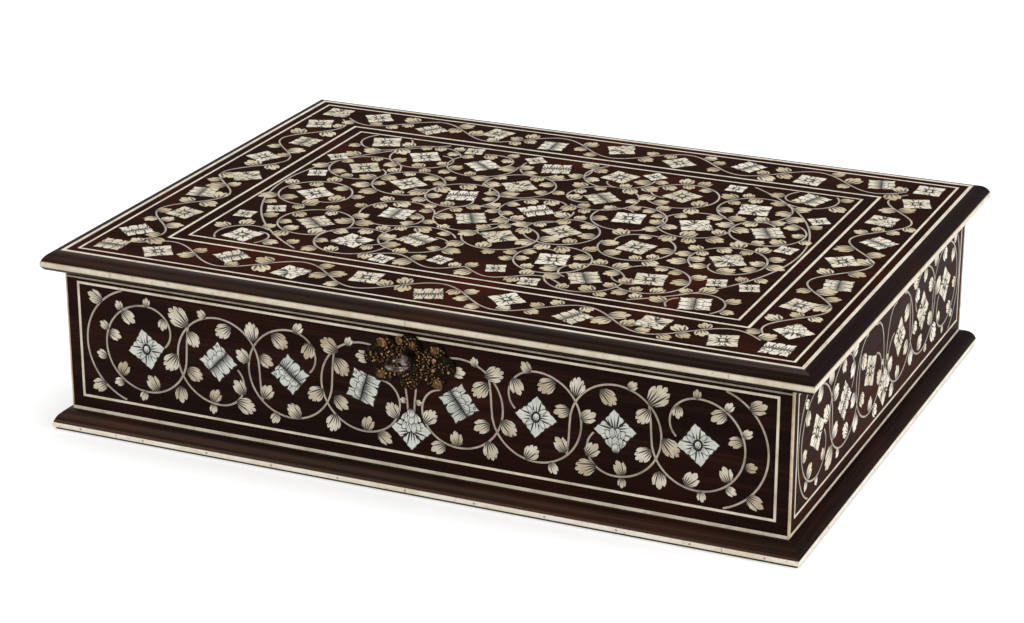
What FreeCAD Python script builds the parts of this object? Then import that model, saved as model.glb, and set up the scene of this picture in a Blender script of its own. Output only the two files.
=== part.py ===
import FreeCAD, Part
import math
import os
import re
import Sketcher

# Inlaid table box: a veneered board case on a moulded base, a hinged moulded lid, and a lock with its key.
# The origin is the centre of the underside. X runs along the front, Y to the back, Z up, in millimetres.

Vector = FreeCAD.Vector
UP = Vector(0, 0, 1)

SIZES = (
    ("wall_length", 440), ("wall_depth", 332), ("wall_top", 96),
    ("board_thickness", 12), ("veneer_thickness", 2.5), ("bottom_thickness", 8), ("inlay_depth", 1.2),
    ("base_plate_thickness", 1.5), ("base_plate_inset", 1.7), ("base_projection", 9.3),
    ("base_strip_height", 2.8), ("base_moulding_top", 11.5), ("base_curve_radius", 9.5),
    ("strip_width", 4), ("strip_bulge", 0.4), ("strip_curve_radius", 4.5), ("moulding_setback", 0.6),
    ("foot_line_height", 2), ("top_line_height", 1), ("top_line_gap", 1.5),
    ("corner_fillet_width", 0.9), ("panel_line_width", 1.5), ("panel_line_inset", 7.5), ("panel_line_drop", 4.2),
    ("panel_line_bottom", 20.3),
    ("lid_length", 466), ("lid_depth", 345), ("lid_thickness", 12),
    ("lid_moulding_width", 9), ("lid_fillet_width", 3), ("lid_fillet_height", 0.9),
    ("lid_strip_rise", 3.2), ("lid_strip_height", 3.6), ("lid_curve_radius", 8.5), ("lid_under_radius", 4.2),
    ("lid_edge_line_width", 2.2), ("lid_border_line_width", 1.5), ("lid_border_line_inset", 7),
    ("lid_frame_length", 358), ("lid_frame_depth", 240), ("lid_frame_line_width", 1.8), ("lid_frame_gap", 7),
    ("flower_side", 18.5), ("small_flower_side", 12), ("wall_flower_side", 18.2),
    ("notch_width", 1.1), ("notch_depth", 1.2),
    ("key_height", 80), ("shank_radius", 2.2), ("running_clearance", 0.06), ("shank_outer", 8), ("shank_inner", 23),
    ("bow_radius", 6.5), ("bow_bar_radius", 1.5), ("collar_radius", 3.1), ("collar_length", 2),
    ("bit_reach", 6.5), ("bit_thickness", 2), ("bit_length", 4.5), ("keyhole_clearance", 0.4),
    ("escutcheon_thickness", 1.2), ("escutcheon_centre", 76.5), ("escutcheon_core", 12),
    ("lobe_radius", 6.8), ("lobe_ring_length", 42), ("lobe_ring_height", 19), ("pin_radius", 0.8), ("pin_depth", 2),
    ("lock_plate_length", 62), ("lock_plate_height", 40), ("lock_plate_thickness", 1.5), ("lock_top_gap", 1),
    ("lock_case_length", 48), ("lock_case_height", 34), ("lock_case_depth", 9), ("lock_case_wall", 1.2),
    ("bolt_length", 20), ("bolt_height", 4), ("bolt_thickness", 4), ("bolt_bottom", 87.6), ("bolt_tip", 5.5),
    ("bolt_front_gap", 1.8), ("guide_length", 16), ("spring_thickness", 0.6),
    ("staple_start", 8), ("staple_thickness", 3), ("staple_width", 7), ("staple_drop", 13.2), ("staple_gap", 0.7),
    ("staple_window_gap", 0.25), ("staple_flange_length", 18), ("staple_flange_thickness", 1.3),
    ("nail_radius", 0.9), ("nail_head_radius", 2), ("nail_head_height", 0.7), ("nail_length", 7), ("nail_inset", 3),
    ("hinge_spacing", 260), ("hinge_length", 30), ("leaf_depth", 11), ("leaf_thickness", 1.2),
    ("hinge_offset", 2.9), ("knuckle_radius", 2.4), ("knuckle_length", 10), ("knuckle_gap", 0.2),
    ("hinge_pin_radius", 1), ("hinge_notch_gap", 0.6),
)

doc = FreeCAD.newDocument("inlaid_box")
sheet = doc.addObject("Spreadsheet::Sheet", "Sizes")
for row, (alias, value) in enumerate(SIZES, start=1):
    sheet.set("A%d" % row, alias)
    sheet.set("B%d" % row, str(value))
    sheet.setAlias("B%d" % row, alias)
doc.recompute()

ALIASES = {alias for alias, value in SIZES}
NODES = []
SIDES = {"front": (0, 0, -1), "right": (90, 1, 0), "back": (180, 0, 1), "left": (270, -1, 0)}


def bound(expression):
    """The expression with each size name pointing at its cell."""
    return re.sub(r"[a-z_]+", lambda m: "Sizes." + m.group(0) if m.group(0) in ALIASES else m.group(0), expression)


def number(expression):
    value = sheet.evalExpression(bound(expression))
    return float(getattr(value, "Value", value))


def place(obj, corner):
    for axis, expression in zip("xyz", corner):
        obj.setExpression("Placement.Base." + axis, bound(expression))


def box(name, size, corner):
    solid = doc.addObject("Part::Box", name)
    for side, expression in zip(("Length", "Width", "Height"), size):
        solid.setExpression(side, bound(expression))
    place(solid, corner)
    return solid


def cylinder(name, radius, length, start, axis):
    """A round bar from start, towards -Y for axis y and +X for axis x and +Z for axis z."""
    turns = {"y": FreeCAD.Rotation(Vector(1, 0, 0), 90), "x": FreeCAD.Rotation(Vector(0, 1, 0), 90),
             "z": FreeCAD.Rotation()}
    solid = doc.addObject("Part::Cylinder", name)
    solid.setExpression("Radius", bound(radius))
    solid.setExpression("Height", bound(length))
    solid.Placement = FreeCAD.Placement(Vector(), turns[axis])
    place(solid, start)
    return solid


def fuse(name, members):
    joined = doc.addObject("Part::MultiFuse", name)
    joined.Shapes = members
    joined.Refine = True
    return joined


def carve(base, *tools):
    for tool in tools:
        remainder = doc.addObject("Part::Cut", base.Name + "_cut")
        remainder.Base = base
        remainder.Tool = tool
        remainder.Refine = False
        base = remainder
    return base


def gather(name, members):
    group = doc.addObject("Part::Compound", name)
    group.Links = members
    return group


def stand(name, members, side, reach_x, reach_y, facing=0):
    """A copy of members, drawn for the front, moved to the named side of the box."""
    turn, along_x, along_y = SIDES[side]
    group = gather(name, members)
    group.Placement = FreeCAD.Placement(Vector(), FreeCAD.Rotation(UP, turn + facing))
    place(group, ("%d * (%s)" % (along_x, reach_x), "%d * (%s)" % (along_y, reach_y), "0"))
    return group


def node(name, shown):
    """Keep an object as one named sub-part."""
    shown.Label = name
    NODES.append(shown)
    return shown


def at_wall(name, members, side):
    return node(name, stand(name, members, side, "wall_length / 2", "wall_depth / 2"))


def frame_xz(name, run, low, high, width):
    """A rectangular line let into a wall's face, which is at Y 0."""
    outer = box(name + "_outer", (run, "inlay_depth", "%s - (%s)" % (high, low)), ("-(%s) / 2" % run, "0", low))
    inner = box(name + "_inner", ("%s - 2 * %s" % (run, width), "inlay_depth",
                                  "%s - (%s) - 2 * %s" % (high, low, width)),
                ("-(%s) / 2 + %s" % (run, width), "0", "%s + %s" % (low, width)))
    return carve(outer, inner)


def frame_xy(name, length, depth, width):
    """A rectangular line let into the lid's top."""
    level = "wall_top + lid_thickness - inlay_depth"
    outer = box(name + "_outer", (length, depth, "inlay_depth"),
                ("-(%s) / 2" % length, "-(%s) / 2" % depth, level))
    inner = box(name + "_inner", ("%s - 2 * %s" % (length, width), "%s - 2 * %s" % (depth, width), "inlay_depth"),
                ("-(%s) / 2 + %s" % (length, width), "-(%s) / 2 + %s" % (depth, width), level))
    return carve(outer, inner)


def origin_plane(body, role):
    return [plane for plane in body.Origin.OriginFeatures if plane.Role == role][0]


def draw(body, name, role, corners):
    """A closed sketch through corners, each (across, up, radius of the round stretch to the next or None)."""
    sketch = body.newObject("Sketcher::SketchObject", name)
    sketch.AttachmentSupport = [(origin_plane(body, role), "")]
    sketch.MapMode = "FlatFace"
    points = [Vector(number(across), number(up), 0) for across, up, radius in corners]
    for index, (across, up, radius) in enumerate(corners):
        start = points[index]
        end = points[(index + 1) % len(points)]
        if radius is None:
            sketch.addGeometry(Part.LineSegment(start, end))
            continue
        size = number(radius)
        chord = end - start
        inward = Vector(-chord.y, chord.x, 0).normalize()
        centre = (start + end) * 0.5 + inward * math.sqrt(size ** 2 - chord.Length ** 2 / 4)
        first = math.atan2(start.y - centre.y, start.x - centre.x)
        last = math.atan2(end.y - centre.y, end.x - centre.x)
        sketch.addGeometry(Part.ArcOfCircle(Part.Circle(centre, UP, size), first, last))
    for index, (across, up, radius) in enumerate(corners):
        sketch.addConstraint(Sketcher.Constraint("Coincident", index, 2, (index + 1) % len(corners), 1))
    for index, (across, up, radius) in enumerate(corners):
        for kind, expression, value in (("DistanceX", across, points[index].x), ("DistanceY", up, points[index].y)):
            key = sketch.addConstraint(Sketcher.Constraint(kind, -1, 1, index, 1, value))
            sketch.setExpression("Constraints[%d]" % key, bound(expression))
        if radius is not None:
            key = sketch.addConstraint(Sketcher.Constraint("Radius", index, number(radius)))
            sketch.setExpression("Constraints[%d]" % key, bound(radius))
    return sketch


def mitred_bar(name, corners, length, width):
    """A bar along X with the drawn section, Y outwards. Its length is that of its inner edge."""
    body = doc.addObject("PartDesign::Body", name)
    pad = body.newObject("PartDesign::Pad", name + "_pad")
    pad.Profile = draw(body, name + "_section", "YZ_Plane", corners)
    pad.SideType = "Symmetric"
    pad.setExpression("Length", bound("%s + 2 * (%s)" % (length, width)))
    half = "(%s) / 2" % length
    pocket = body.newObject("PartDesign::Pocket", name + "_mitre")
    pocket.Profile = draw(body, name + "_corner", "XY_Plane",
                          ((half, "0", None), ("%s + %s" % (half, width), "0", None),
                           ("%s + %s" % (half, width), width, None)))
    pocket.Type = "ThroughAll"
    pocket.SideType = "Symmetric"
    mirrored = body.newObject("PartDesign::Mirrored", name + "_ends")
    mirrored.Originals = [pocket]
    mirrored.MirrorPlane = (origin_plane(body, "YZ_Plane"), [""])
    body.Tip = mirrored
    return body


def flower(side, notches):
    """A square bone flower with notched edges, from its bed up to the surface."""
    half = side / 2
    wide = number("notch_width") / 2
    outline = []
    for quarter in range(4):
        turn = FreeCAD.Rotation(UP, 90 * quarter)
        edge = [Vector(-half, -half, 0)]
        for step in range(1, notches + 1):
            middle = -half + side * step / (notches + 1)
            edge += [Vector(middle - wide, -half, 0), Vector(middle, -half + number("notch_depth"), 0),
                     Vector(middle + wide, -half, 0)]
        outline += [turn.multVec(point) for point in edge]
    face = Part.Face(Part.makePolygon(outline + outline[:1]))
    return face.extrude(UP * number("inlay_depth"))


def flowers(name, spots, upright):
    """Flowers at (across, up, turn, side, notches), in the lid's top or, upright, in a wall's face."""
    tilt = FreeCAD.Rotation(Vector(1, 0, 0), 90) if upright else FreeCAD.Rotation()
    solids = []
    for across, up, turn, side, notches in spots:
        spot = Vector(across, number("inlay_depth"), up)
        if not upright:
            spot = Vector(across, up, number("wall_top + lid_thickness - inlay_depth"))
        solid = flower(side, notches)
        solid.Placement = FreeCAD.Placement(spot, tilt * FreeCAD.Rotation(UP, turn))
        solids.append(solid)
    inlay = doc.addObject("Part::Feature", name)
    inlay.Shape = Part.Compound(solids)
    return inlay


# Case: the dark plate under the base, the bottom board and the four wall boards
node("base_plate", box("base_plate",
                       ("wall_length + 2 * (base_projection - base_plate_inset)",
                        "wall_depth + 2 * (base_projection - base_plate_inset)", "base_plate_thickness"),
                       ("-wall_length / 2 - base_projection + base_plate_inset",
                        "-wall_depth / 2 - base_projection + base_plate_inset", "0")))
skin = "(veneer_thickness + board_thickness)"
node("bottom_board", box("bottom_board",
                         ("wall_length - 2 * " + skin, "wall_depth - 2 * " + skin, "bottom_thickness"),
                         ("-wall_length / 2 + " + skin, "-wall_depth / 2 + " + skin, "base_plate_thickness")))


def wall_board(side, run):
    return box(side + "_plank", (run, "board_thickness", "wall_top - base_plate_thickness"),
               ("-(%s) / 2" % run, "veneer_thickness", "base_plate_thickness"))


# Lock: the keyhole goes through the escutcheon, veneer, board and lock plate. The face of the wall is at Y 0.
plate_front = "(veneer_thickness + board_thickness)"
plate_back = "(veneer_thickness + board_thickness + lock_plate_thickness)"
lock_top = "(wall_top - lock_top_gap)"
keyhole = fuse("keyhole", [
    cylinder("keyhole_round", "shank_radius + running_clearance", plate_back + " + escutcheon_thickness",
             ("0", plate_back, "key_height"), "y"),
    box("keyhole_slot", ("bit_thickness + 2 * keyhole_clearance", plate_back + " + escutcheon_thickness",
                         "bit_reach + keyhole_clearance"),
        ("-bit_thickness / 2 - keyhole_clearance", "-escutcheon_thickness",
         "key_height - bit_reach - keyhole_clearance")),
])
nails = []
for across in (-1, 1):
    for level in (lock_top + " - nail_inset", lock_top + " - lock_plate_height + nail_inset"):
        middle = "%d * (lock_plate_length / 2 - nail_inset)" % across
        tag = "lock_nail_%d" % len(nails)
        nails.append(fuse(tag, [
            cylinder(tag + "_shank", "nail_radius", "nail_length", (middle, plate_back, level), "y"),
            cylinder(tag + "_head", "nail_head_radius", "nail_head_height",
                     (middle, plate_back + " + nail_head_height", level), "y")]))
lock_nails = gather("lock_nails_local", nails)
lock_plate = box("lock_plate_blank", ("lock_plate_length", "lock_plate_thickness", "lock_plate_height"),
                 ("-lock_plate_length / 2", plate_front, lock_top + " - lock_plate_height"))
case_bottom = "(%s - lock_case_height)" % lock_top
cover = box("lock_cover", ("lock_case_length", "lock_case_depth", "lock_case_height"),
            ("-lock_case_length / 2", plate_back, case_bottom))
hollow = box("lock_hollow", ("lock_case_length - 2 * lock_case_wall", "lock_case_depth - lock_case_wall",
                             "lock_case_height - lock_case_wall"),
             ("-lock_case_length / 2 + lock_case_wall", plate_back, case_bottom + " + lock_case_wall"))
bolt_front = "(%s + bolt_front_gap)" % plate_back
bolt = box("bolt_bar", ("bolt_length", "bolt_thickness", "bolt_height"),
           ("bolt_tip - bolt_length", bolt_front, "bolt_bottom"))
guide = box("guide_block", ("guide_length", "lock_case_depth - lock_case_wall - bolt_front_gap", "bolt_height"),
            ("-lock_case_length / 2 + lock_case_wall", bolt_front, "bolt_bottom - running_clearance - bolt_height"))
spring = box("spring_strip", ("bolt_length", "lock_case_depth - lock_case_wall - bolt_front_gap", "spring_thickness"),
             ("-lock_case_length / 2 + lock_case_wall", bolt_front, "bolt_bottom + bolt_height + running_clearance"))
lobes = [cylinder("escutcheon_disc", "escutcheon_core", "escutcheon_thickness", ("0", "0", "escutcheon_centre"), "y")]
pins = []
for lobe in range(8):
    swing = math.radians(45 * lobe)
    middle = ("%.6f * lobe_ring_length / 2" % math.cos(swing), "0",
              "escutcheon_centre + %.6f * lobe_ring_height / 2" % math.sin(swing))
    lobes.append(cylinder("escutcheon_lobe_%d" % lobe, "lobe_radius", "escutcheon_thickness", middle, "y"))
    if lobe % 2:
        pins.append(cylinder("escutcheon_pin_%d" % lobe, "pin_radius", "pin_depth + escutcheon_thickness",
                             (middle[0], "pin_depth", middle[2]), "y"))
escutcheon_pins = gather("escutcheon_pins_local", pins)

# Front and back flowers stand in eight scrolls and one middle spot, side flowers in six, from left to right
scroll_level = 56.5
middle_spot = (0, 36, 45)
front_scrolls = ((-168, 57), (-121, 46), (-75, 51), (-29, 73), (29, 36), (75, 42), (121, 48), (168, 54))
side_scrolls = ((-124, 57), (-76, 46), (-28.5, 70), (28.5, 36), (76, 42), (124, 52))
petal_side = number("wall_flower_side")


def wall_spots(scrolls):
    spots = [(across, scroll_level, turn) for across, turn in scrolls] + [middle_spot]
    return [(across, up, turn, petal_side, 2) for across, up, turn in spots]


front_spots = wall_spots(front_scrolls)
side_spots = wall_spots(side_scrolls)

# Hinges: drawn for the back wall with its face at Y 0, so the pivots stand outside at -Y
lower_leaves = []
upper_leaves = []
hinge_pins = []
lower_nails = []
upper_nails = []
knuckle_notches = []
for index, sign in enumerate((-1, 1)):
    middle = "%d * hinge_spacing / 2" % sign
    left = "(%s - hinge_length / 2)" % middle
    inner_start = "(%s - knuckle_length / 2)" % middle
    outer_run = "(hinge_length / 2 - knuckle_length / 2 - knuckle_gap)"
    right_start = "(%s + knuckle_length / 2 + knuckle_gap)" % middle
    tag = "hinge_%d" % index
    nail_y = "leaf_depth / 2"
    low_level = "wall_top - leaf_thickness"
    holes = []
    for step in (-1, 1):
        nail_x = "%s + %d * hinge_length / 4" % (middle, step)
        holes.append((cylinder("%s_low_nail_%d" % (tag, step + 1), "nail_radius", "nail_length",
                               (nail_x, nail_y, "wall_top - nail_length"), "z"),
                      cylinder("%s_high_nail_%d" % (tag, step + 1), "nail_radius", "nail_length",
                               (nail_x, nail_y, "wall_top"), "z")))
    lower_nails += [low for low, high in holes]
    upper_nails += [high for low, high in holes]
    axle = ("hinge_length", ("%s" % left, "-hinge_offset", "wall_top"))
    lower = fuse(tag + "_lower", [
        box(tag + "_lower_leaf", ("hinge_length", "leaf_depth", "leaf_thickness"), (left, "0", low_level)),
        box(tag + "_strap_a", (outer_run, "hinge_offset + leaf_depth / 2", "leaf_thickness"),
            (left, "-hinge_offset", low_level)),
        box(tag + "_strap_b", (outer_run, "hinge_offset + leaf_depth / 2", "leaf_thickness"),
            (right_start, "-hinge_offset", low_level)),
        cylinder(tag + "_knuckle_a", "knuckle_radius", outer_run, (left, "-hinge_offset", "wall_top"), "x"),
        cylinder(tag + "_knuckle_b", "knuckle_radius", outer_run, (right_start, "-hinge_offset", "wall_top"), "x")])
    upper = fuse(tag + "_upper", [
        box(tag + "_upper_leaf", ("hinge_length", "leaf_depth", "leaf_thickness"), (left, "0", "wall_top")),
        box(tag + "_strap_c", ("knuckle_length", "hinge_offset + leaf_depth / 2", "leaf_thickness"),
            (inner_start, "-hinge_offset", "wall_top")),
        cylinder(tag + "_knuckle_c", "knuckle_radius", "knuckle_length", (inner_start, "-hinge_offset", "wall_top"),
                 "x")])
    pin = cylinder(tag + "_pin", "hinge_pin_radius", axle[0], axle[1], "x")
    bore = cylinder(tag + "_bore", "hinge_pin_radius + running_clearance", axle[0], axle[1], "x")
    lower_leaves.append(carve(lower, pin, *[low for low, high in holes]))
    upper_leaves.append(carve(upper, bore, *[high for low, high in holes]))
    hinge_pins.append(pin)
    knuckle_notches.append(box(tag + "_notch",
                               ("hinge_length + 2 * hinge_notch_gap", "hinge_offset + knuckle_radius + hinge_notch_gap",
                                "lid_strip_rise"),
                               ("%s - hinge_notch_gap" % left, "-hinge_offset - knuckle_radius - hinge_notch_gap",
                                "wall_top")))
lower_hinges = gather("lower_hinges_local", lower_leaves)
lower_hinge_nails = gather("lower_hinge_nails_local", lower_nails)

# Walls: board, veneer, panel line and flowers for each side
panel_top = "(wall_top - panel_line_drop)"
top_lines = []
foot_lines = []
for side, run, spots in (("front", "wall_length", front_spots), ("back", "wall_length", front_spots),
                         ("left", "wall_depth", side_spots), ("right", "wall_depth", side_spots)):
    end = "corner_fillet_width" if run == "wall_length" else "veneer_thickness"
    face_run = "(%s - 2 * %s)" % (run, end)
    panel_line = frame_xz(side + "_line", "(%s - 2 * panel_line_inset)" % run, "panel_line_bottom", panel_top,
                          "panel_line_width")
    top_line = box(side + "_top_line", (face_run, "inlay_depth", "top_line_height"),
                   ("-%s / 2" % face_run, "0", "wall_top - top_line_gap - top_line_height"))
    foot_line = box(side + "_foot_line", (face_run, "veneer_thickness", "foot_line_height"),
                    ("-%s / 2" % face_run, "0", "base_moulding_top"))
    inlay = flowers(side + "_inlay", spots, True)
    sheet_of_veneer = box(side + "_sheet", (face_run, "veneer_thickness",
                                            "wall_top - base_moulding_top - foot_line_height"),
                          ("-%s / 2" % face_run, "0", "base_moulding_top + foot_line_height"))
    veneer = carve(sheet_of_veneer, panel_line, top_line, inlay)
    board_run = "(%s - 2 * veneer_thickness)" % run
    if run == "wall_depth":
        board_run = "(%s - 2 * veneer_thickness - 2 * board_thickness)" % run
    board = wall_board(side, board_run)
    if side == "front":
        veneer = carve(veneer, keyhole, escutcheon_pins)
        board = carve(board, keyhole, lock_nails)
    if side == "back":
        veneer = carve(veneer, lower_hinges)
        board = carve(board, lower_hinges, lower_hinge_nails)
    at_wall(side + "_board", [board], side)
    at_wall(side + "_veneer", [veneer], side)
    at_wall(side + "_panel_line", [panel_line], side)
    at_wall(side + "_flowers", [inlay], side)
    top_lines.append(stand(side + "_top_line_set", [top_line], side, "wall_length / 2", "wall_depth / 2"))
    foot_lines.append(stand(side + "_foot_line_set", [foot_line], side, "wall_length / 2", "wall_depth / 2"))
node("wall_top_lines", gather("wall_top_lines", top_lines))
node("wall_foot_lines", gather("wall_foot_lines", foot_lines))
fillets = []
for across in ("-wall_length / 2", "wall_length / 2 - corner_fillet_width"):
    for along in ("-wall_depth / 2", "wall_depth / 2 - veneer_thickness"):
        fillets.append(box("corner_fillet", ("corner_fillet_width", "veneer_thickness", "wall_top - base_moulding_top"),
                           (across, along, "base_moulding_top")))
node("corner_fillets", gather("corner_fillets", fillets))

# Lock pieces at the front wall
at_wall("escutcheon", [carve(fuse("escutcheon_blank", lobes), keyhole, escutcheon_pins)], "front")
at_wall("escutcheon_pins", [escutcheon_pins], "front")
at_wall("lock_plate", [carve(lock_plate, keyhole, lock_nails)], "front")
staple_slot = box("staple_slot", ("staple_thickness + 4 * staple_gap", "lock_case_depth", "2 * lock_case_wall"),
                  ("staple_start - 2 * staple_gap", plate_back, lock_top + " - lock_case_wall"))
at_wall("lock_case", [carve(cover, hollow, staple_slot)], "front")
at_wall("lock_nails", [lock_nails], "front")
at_wall("bolt_guide", [guide], "front")
at_wall("bolt_spring", [spring], "front")
at_wall("lock_bolt", [bolt], "front")

# Key: a ring bow lying flat, a collar, a round shank and a bit
bow = doc.addObject("Part::Torus", "key_bow")
bow.setExpression("Radius1", bound("bow_radius"))
bow.setExpression("Radius2", bound("bow_bar_radius"))
place(bow, ("0", "-shank_outer - bow_radius", "key_height"))
key = fuse("key_solid", [
    bow,
    cylinder("key_shank", "shank_radius", "shank_inner + shank_outer + bow_bar_radius / 2",
             ("0", "shank_inner", "key_height"), "y"),
    cylinder("key_collar", "collar_radius", "collar_length", ("0", "collar_length - shank_outer", "key_height"), "y"),
    box("key_bit", ("bit_reach", "bit_length", "bit_thickness"),
        ("-bit_reach", "shank_inner - bit_length", "key_height - bit_thickness / 2"))])
at_wall("key", [key], "front")

# Hinge pieces at the back wall
at_wall("hinge_lower_leaves", [lower_hinges], "back")
at_wall("hinge_pins", [gather("hinge_pins_local", hinge_pins)], "back")
at_wall("hinge_lower_nails", [lower_hinge_nails], "back")
upper_hinges = at_wall("hinge_upper_leaves", [gather("upper_hinges_local", upper_leaves)], "back")
upper_hinge_nails = at_wall("hinge_upper_nails", [gather("upper_hinge_nails_local", upper_nails)], "back")
hinge_notches = stand("hinge_notches", knuckle_notches, "back", "wall_length / 2", "wall_depth / 2")

# Base: mitred mouldings against the boards, with a bone strip along the foot of each
base_reach = "(veneer_thickness + base_projection)"
base_strip_in = "(%s - strip_width)" % base_reach
base_strip_top = "(base_plate_thickness + base_strip_height)"
base_section = (("0", "base_plate_thickness", None), (base_strip_in, "base_plate_thickness", None),
                (base_strip_in, base_strip_top, None),
                (base_reach + " - moulding_setback", base_strip_top, "base_curve_radius"),
                ("veneer_thickness", "base_moulding_top", None), ("0", "base_moulding_top", None))
base_strip_section = ((base_strip_in, "base_plate_thickness", None),
                      (base_reach + " - strip_bulge", "base_plate_thickness", "strip_curve_radius"),
                      (base_reach + " - strip_bulge", base_strip_top, None),
                      (base_strip_in, base_strip_top, None))
# Lid: mitred mouldings round the lid board, with a bone strip let into the edge
lid_strip_in = "(lid_moulding_width - strip_width)"
strip_bottom = "(wall_top + lid_strip_rise)"
strip_top = "(wall_top + lid_strip_rise + lid_strip_height)"
lid_top = "(wall_top + lid_thickness)"
lid_section = (("0", "wall_top", None), ("lid_fillet_width", "wall_top", None),
               ("lid_fillet_width", "wall_top + lid_fillet_height", "lid_under_radius"),
               ("lid_moulding_width - moulding_setback", strip_bottom, None),
               (lid_strip_in, strip_bottom, None), (lid_strip_in, strip_top, None),
               ("lid_moulding_width - moulding_setback", strip_top, "lid_curve_radius"),
               ("0", lid_top, None))
lid_strip_section = ((lid_strip_in, strip_bottom, None),
                     ("lid_moulding_width - strip_bulge", strip_bottom, "strip_curve_radius"),
                     ("lid_moulding_width - strip_bulge", strip_top, None),
                     (lid_strip_in, strip_top, None))
base_strips = []
lid_strips = []
panel_x = "(lid_length - 2 * lid_moulding_width)"
panel_y = "(lid_depth - 2 * lid_moulding_width)"
for sides, board_run, lid_run in ((("front", "back"), "wall_length - 2 * veneer_thickness", panel_x),
                                  (("left", "right"), "wall_depth - 2 * veneer_thickness", panel_y)):
    base_bar = mitred_bar(sides[0] + "_base_bar", base_section, board_run, base_reach)
    base_strip = mitred_bar(sides[0] + "_base_strip", base_strip_section, board_run, base_reach)
    lid_bar = mitred_bar(sides[0] + "_lid_bar", lid_section, lid_run, "lid_moulding_width")
    lid_strip = mitred_bar(sides[0] + "_lid_strip", lid_strip_section, lid_run, "lid_moulding_width")
    for side in sides:
        base_place = (side, "wall_length / 2 - veneer_thickness", "wall_depth / 2 - veneer_thickness", 180)
        lid_place = (side, panel_x + " / 2", panel_y + " / 2", 180)
        node("base_moulding_" + side, stand("base_moulding_" + side, [base_bar], *base_place))
        base_strips.append(stand("base_strip_" + side, [base_strip], *base_place))
        moulding = stand("lid_moulding_%s_bar" % side, [lid_bar], *lid_place)
        if side == "back":
            moulding = carve(moulding, hinge_notches, upper_hinges)
        node("lid_moulding_" + side, moulding)
        lid_strips.append(stand("lid_strip_" + side, [lid_strip], *lid_place))
node("base_strips", gather("base_strips", base_strips))
node("lid_strips", gather("lid_strips", lid_strips))

# Lid staple: a flange let into the lid board, with a tongue that drops into the lock and has the bolt's window
staple_front = "(%s + staple_gap)" % plate_back
staple_middle = "(staple_start + staple_thickness / 2)"
flange_width = "(staple_width + 2 * nail_inset)"
flange_corner = ("%s - staple_flange_length / 2" % staple_middle, "%s + staple_width / 2 - %s / 2"
                 % (staple_front, flange_width), "wall_top")
tongue = box("staple_tongue", ("staple_thickness", "staple_width", "staple_drop + staple_flange_thickness"),
             ("staple_start", staple_front, "wall_top - staple_drop"))
window = box("staple_window", ("staple_thickness", "bolt_thickness + 2 * staple_window_gap",
                               "bolt_height + 2 * staple_window_gap"),
             ("staple_start", bolt_front + " - staple_window_gap", "bolt_bottom - staple_window_gap"))
flange = box("staple_flange", ("staple_flange_length", flange_width, "staple_flange_thickness"), flange_corner)
staple_nail_list = [cylinder("staple_nail", "nail_radius", "nail_length",
                             ("%s + %d * (staple_flange_length / 2 - nail_inset)" % (staple_middle, step),
                              staple_front + " + staple_width / 2", "wall_top"), "z") for step in (-1, 1)]
staple_nails = at_wall("staple_nails", [gather("staple_nails_local", staple_nail_list)], "front")
staple = at_wall("lid_staple", [carve(fuse("staple_blank", [flange, tongue]), window, *staple_nail_list)], "front")

# Lid board and the veneer on it, with four lines and the flowers of the border and the field
lid_board = box("lid_plank", (panel_x, panel_y, "lid_thickness - veneer_thickness"),
                ("-%s / 2" % panel_x, "-%s / 2" % panel_y, "wall_top"))
lid_board = carve(lid_board, upper_hinges, upper_hinge_nails, staple, staple_nails)
node("lid_board", lid_board)
lid_sheet = box("lid_sheet", (panel_x, panel_y, "veneer_thickness"),
                ("-%s / 2" % panel_x, "-%s / 2" % panel_y, "%s - veneer_thickness" % lid_top))
inset = "2 * lid_border_line_inset"
frame_in = "2 * (lid_frame_line_width + lid_frame_gap)"
lid_lines = (
    ("lid_edge_line", panel_x, panel_y, "lid_edge_line_width"),
    ("lid_border_line", "(%s - %s)" % (panel_x, inset), "(%s - %s)" % (panel_y, inset), "lid_border_line_width"),
    ("lid_frame_outer_line", "lid_frame_length", "lid_frame_depth", "lid_frame_line_width"),
    ("lid_frame_inner_line", "(lid_frame_length - %s)" % frame_in, "(lid_frame_depth - %s)" % frame_in,
     "lid_border_line_width"),
)
line_solids = [node(name, frame_xy(name, length, depth, width)) for name, length, depth, width in lid_lines]

large = number("flower_side")
small = number("small_flower_side")
# Large field flowers as (across, along, turn) from the lid's middle
FIELD = (
    (-144, 97, 22), (142, 97, -18), (-108, 79, 33), (117, 65, 8), (-67.5, 78, -40), (68, 72, -25),
    (-22.5, 90, 17), (20, 91, -18), (-30, 49.5, 42), (25, 49, 45), (-133, 44, 33), (137.5, 29, 30),
    (-94.5, 27, -39), (94, 25, 24), (-54.5, 19, 15), (53.5, 21, 8), (-2, 11, 45), (-138, -13, -40),
    (132.5, -25.5, 33), (-76, -27, 3), (76.5, -25, -12), (-32, -17, 29), (26.5, -17.5, -35), (-3, -40, 40),
    (-113, -60.5, -42), (103, -71.5, 10), (-45, -64, -22), (40.5, -63.5, 12), (-78, -81, -17), (68.5, -84, 30),
    (-141.5, -97.5, -15), (139.5, -97.5, 15),
)
SMALL_FIELD = (
    (-84, 102, 10), (-41, 100.5, 40), (39.5, 100.5, -40), (93, 99, 0), (-159, 57.5, 40), (158.5, 61, 35),
    (-155.5, 23, 20), (157, 5, -10), (-146, -48, 25), (-158.5, -64, 5), (139, -61.5, 15), (158.5, -62.5, 20),
    (-49, -102, -12), (-18, -90, -15), (17, -90, 20), (42.5, -102, 10),
)
field_spots = [(across, along, turn, large, 2) for across, along, turn in FIELD]
field_spots += [(across, along, turn, small, 1) for across, along, turn in SMALL_FIELD]
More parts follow.
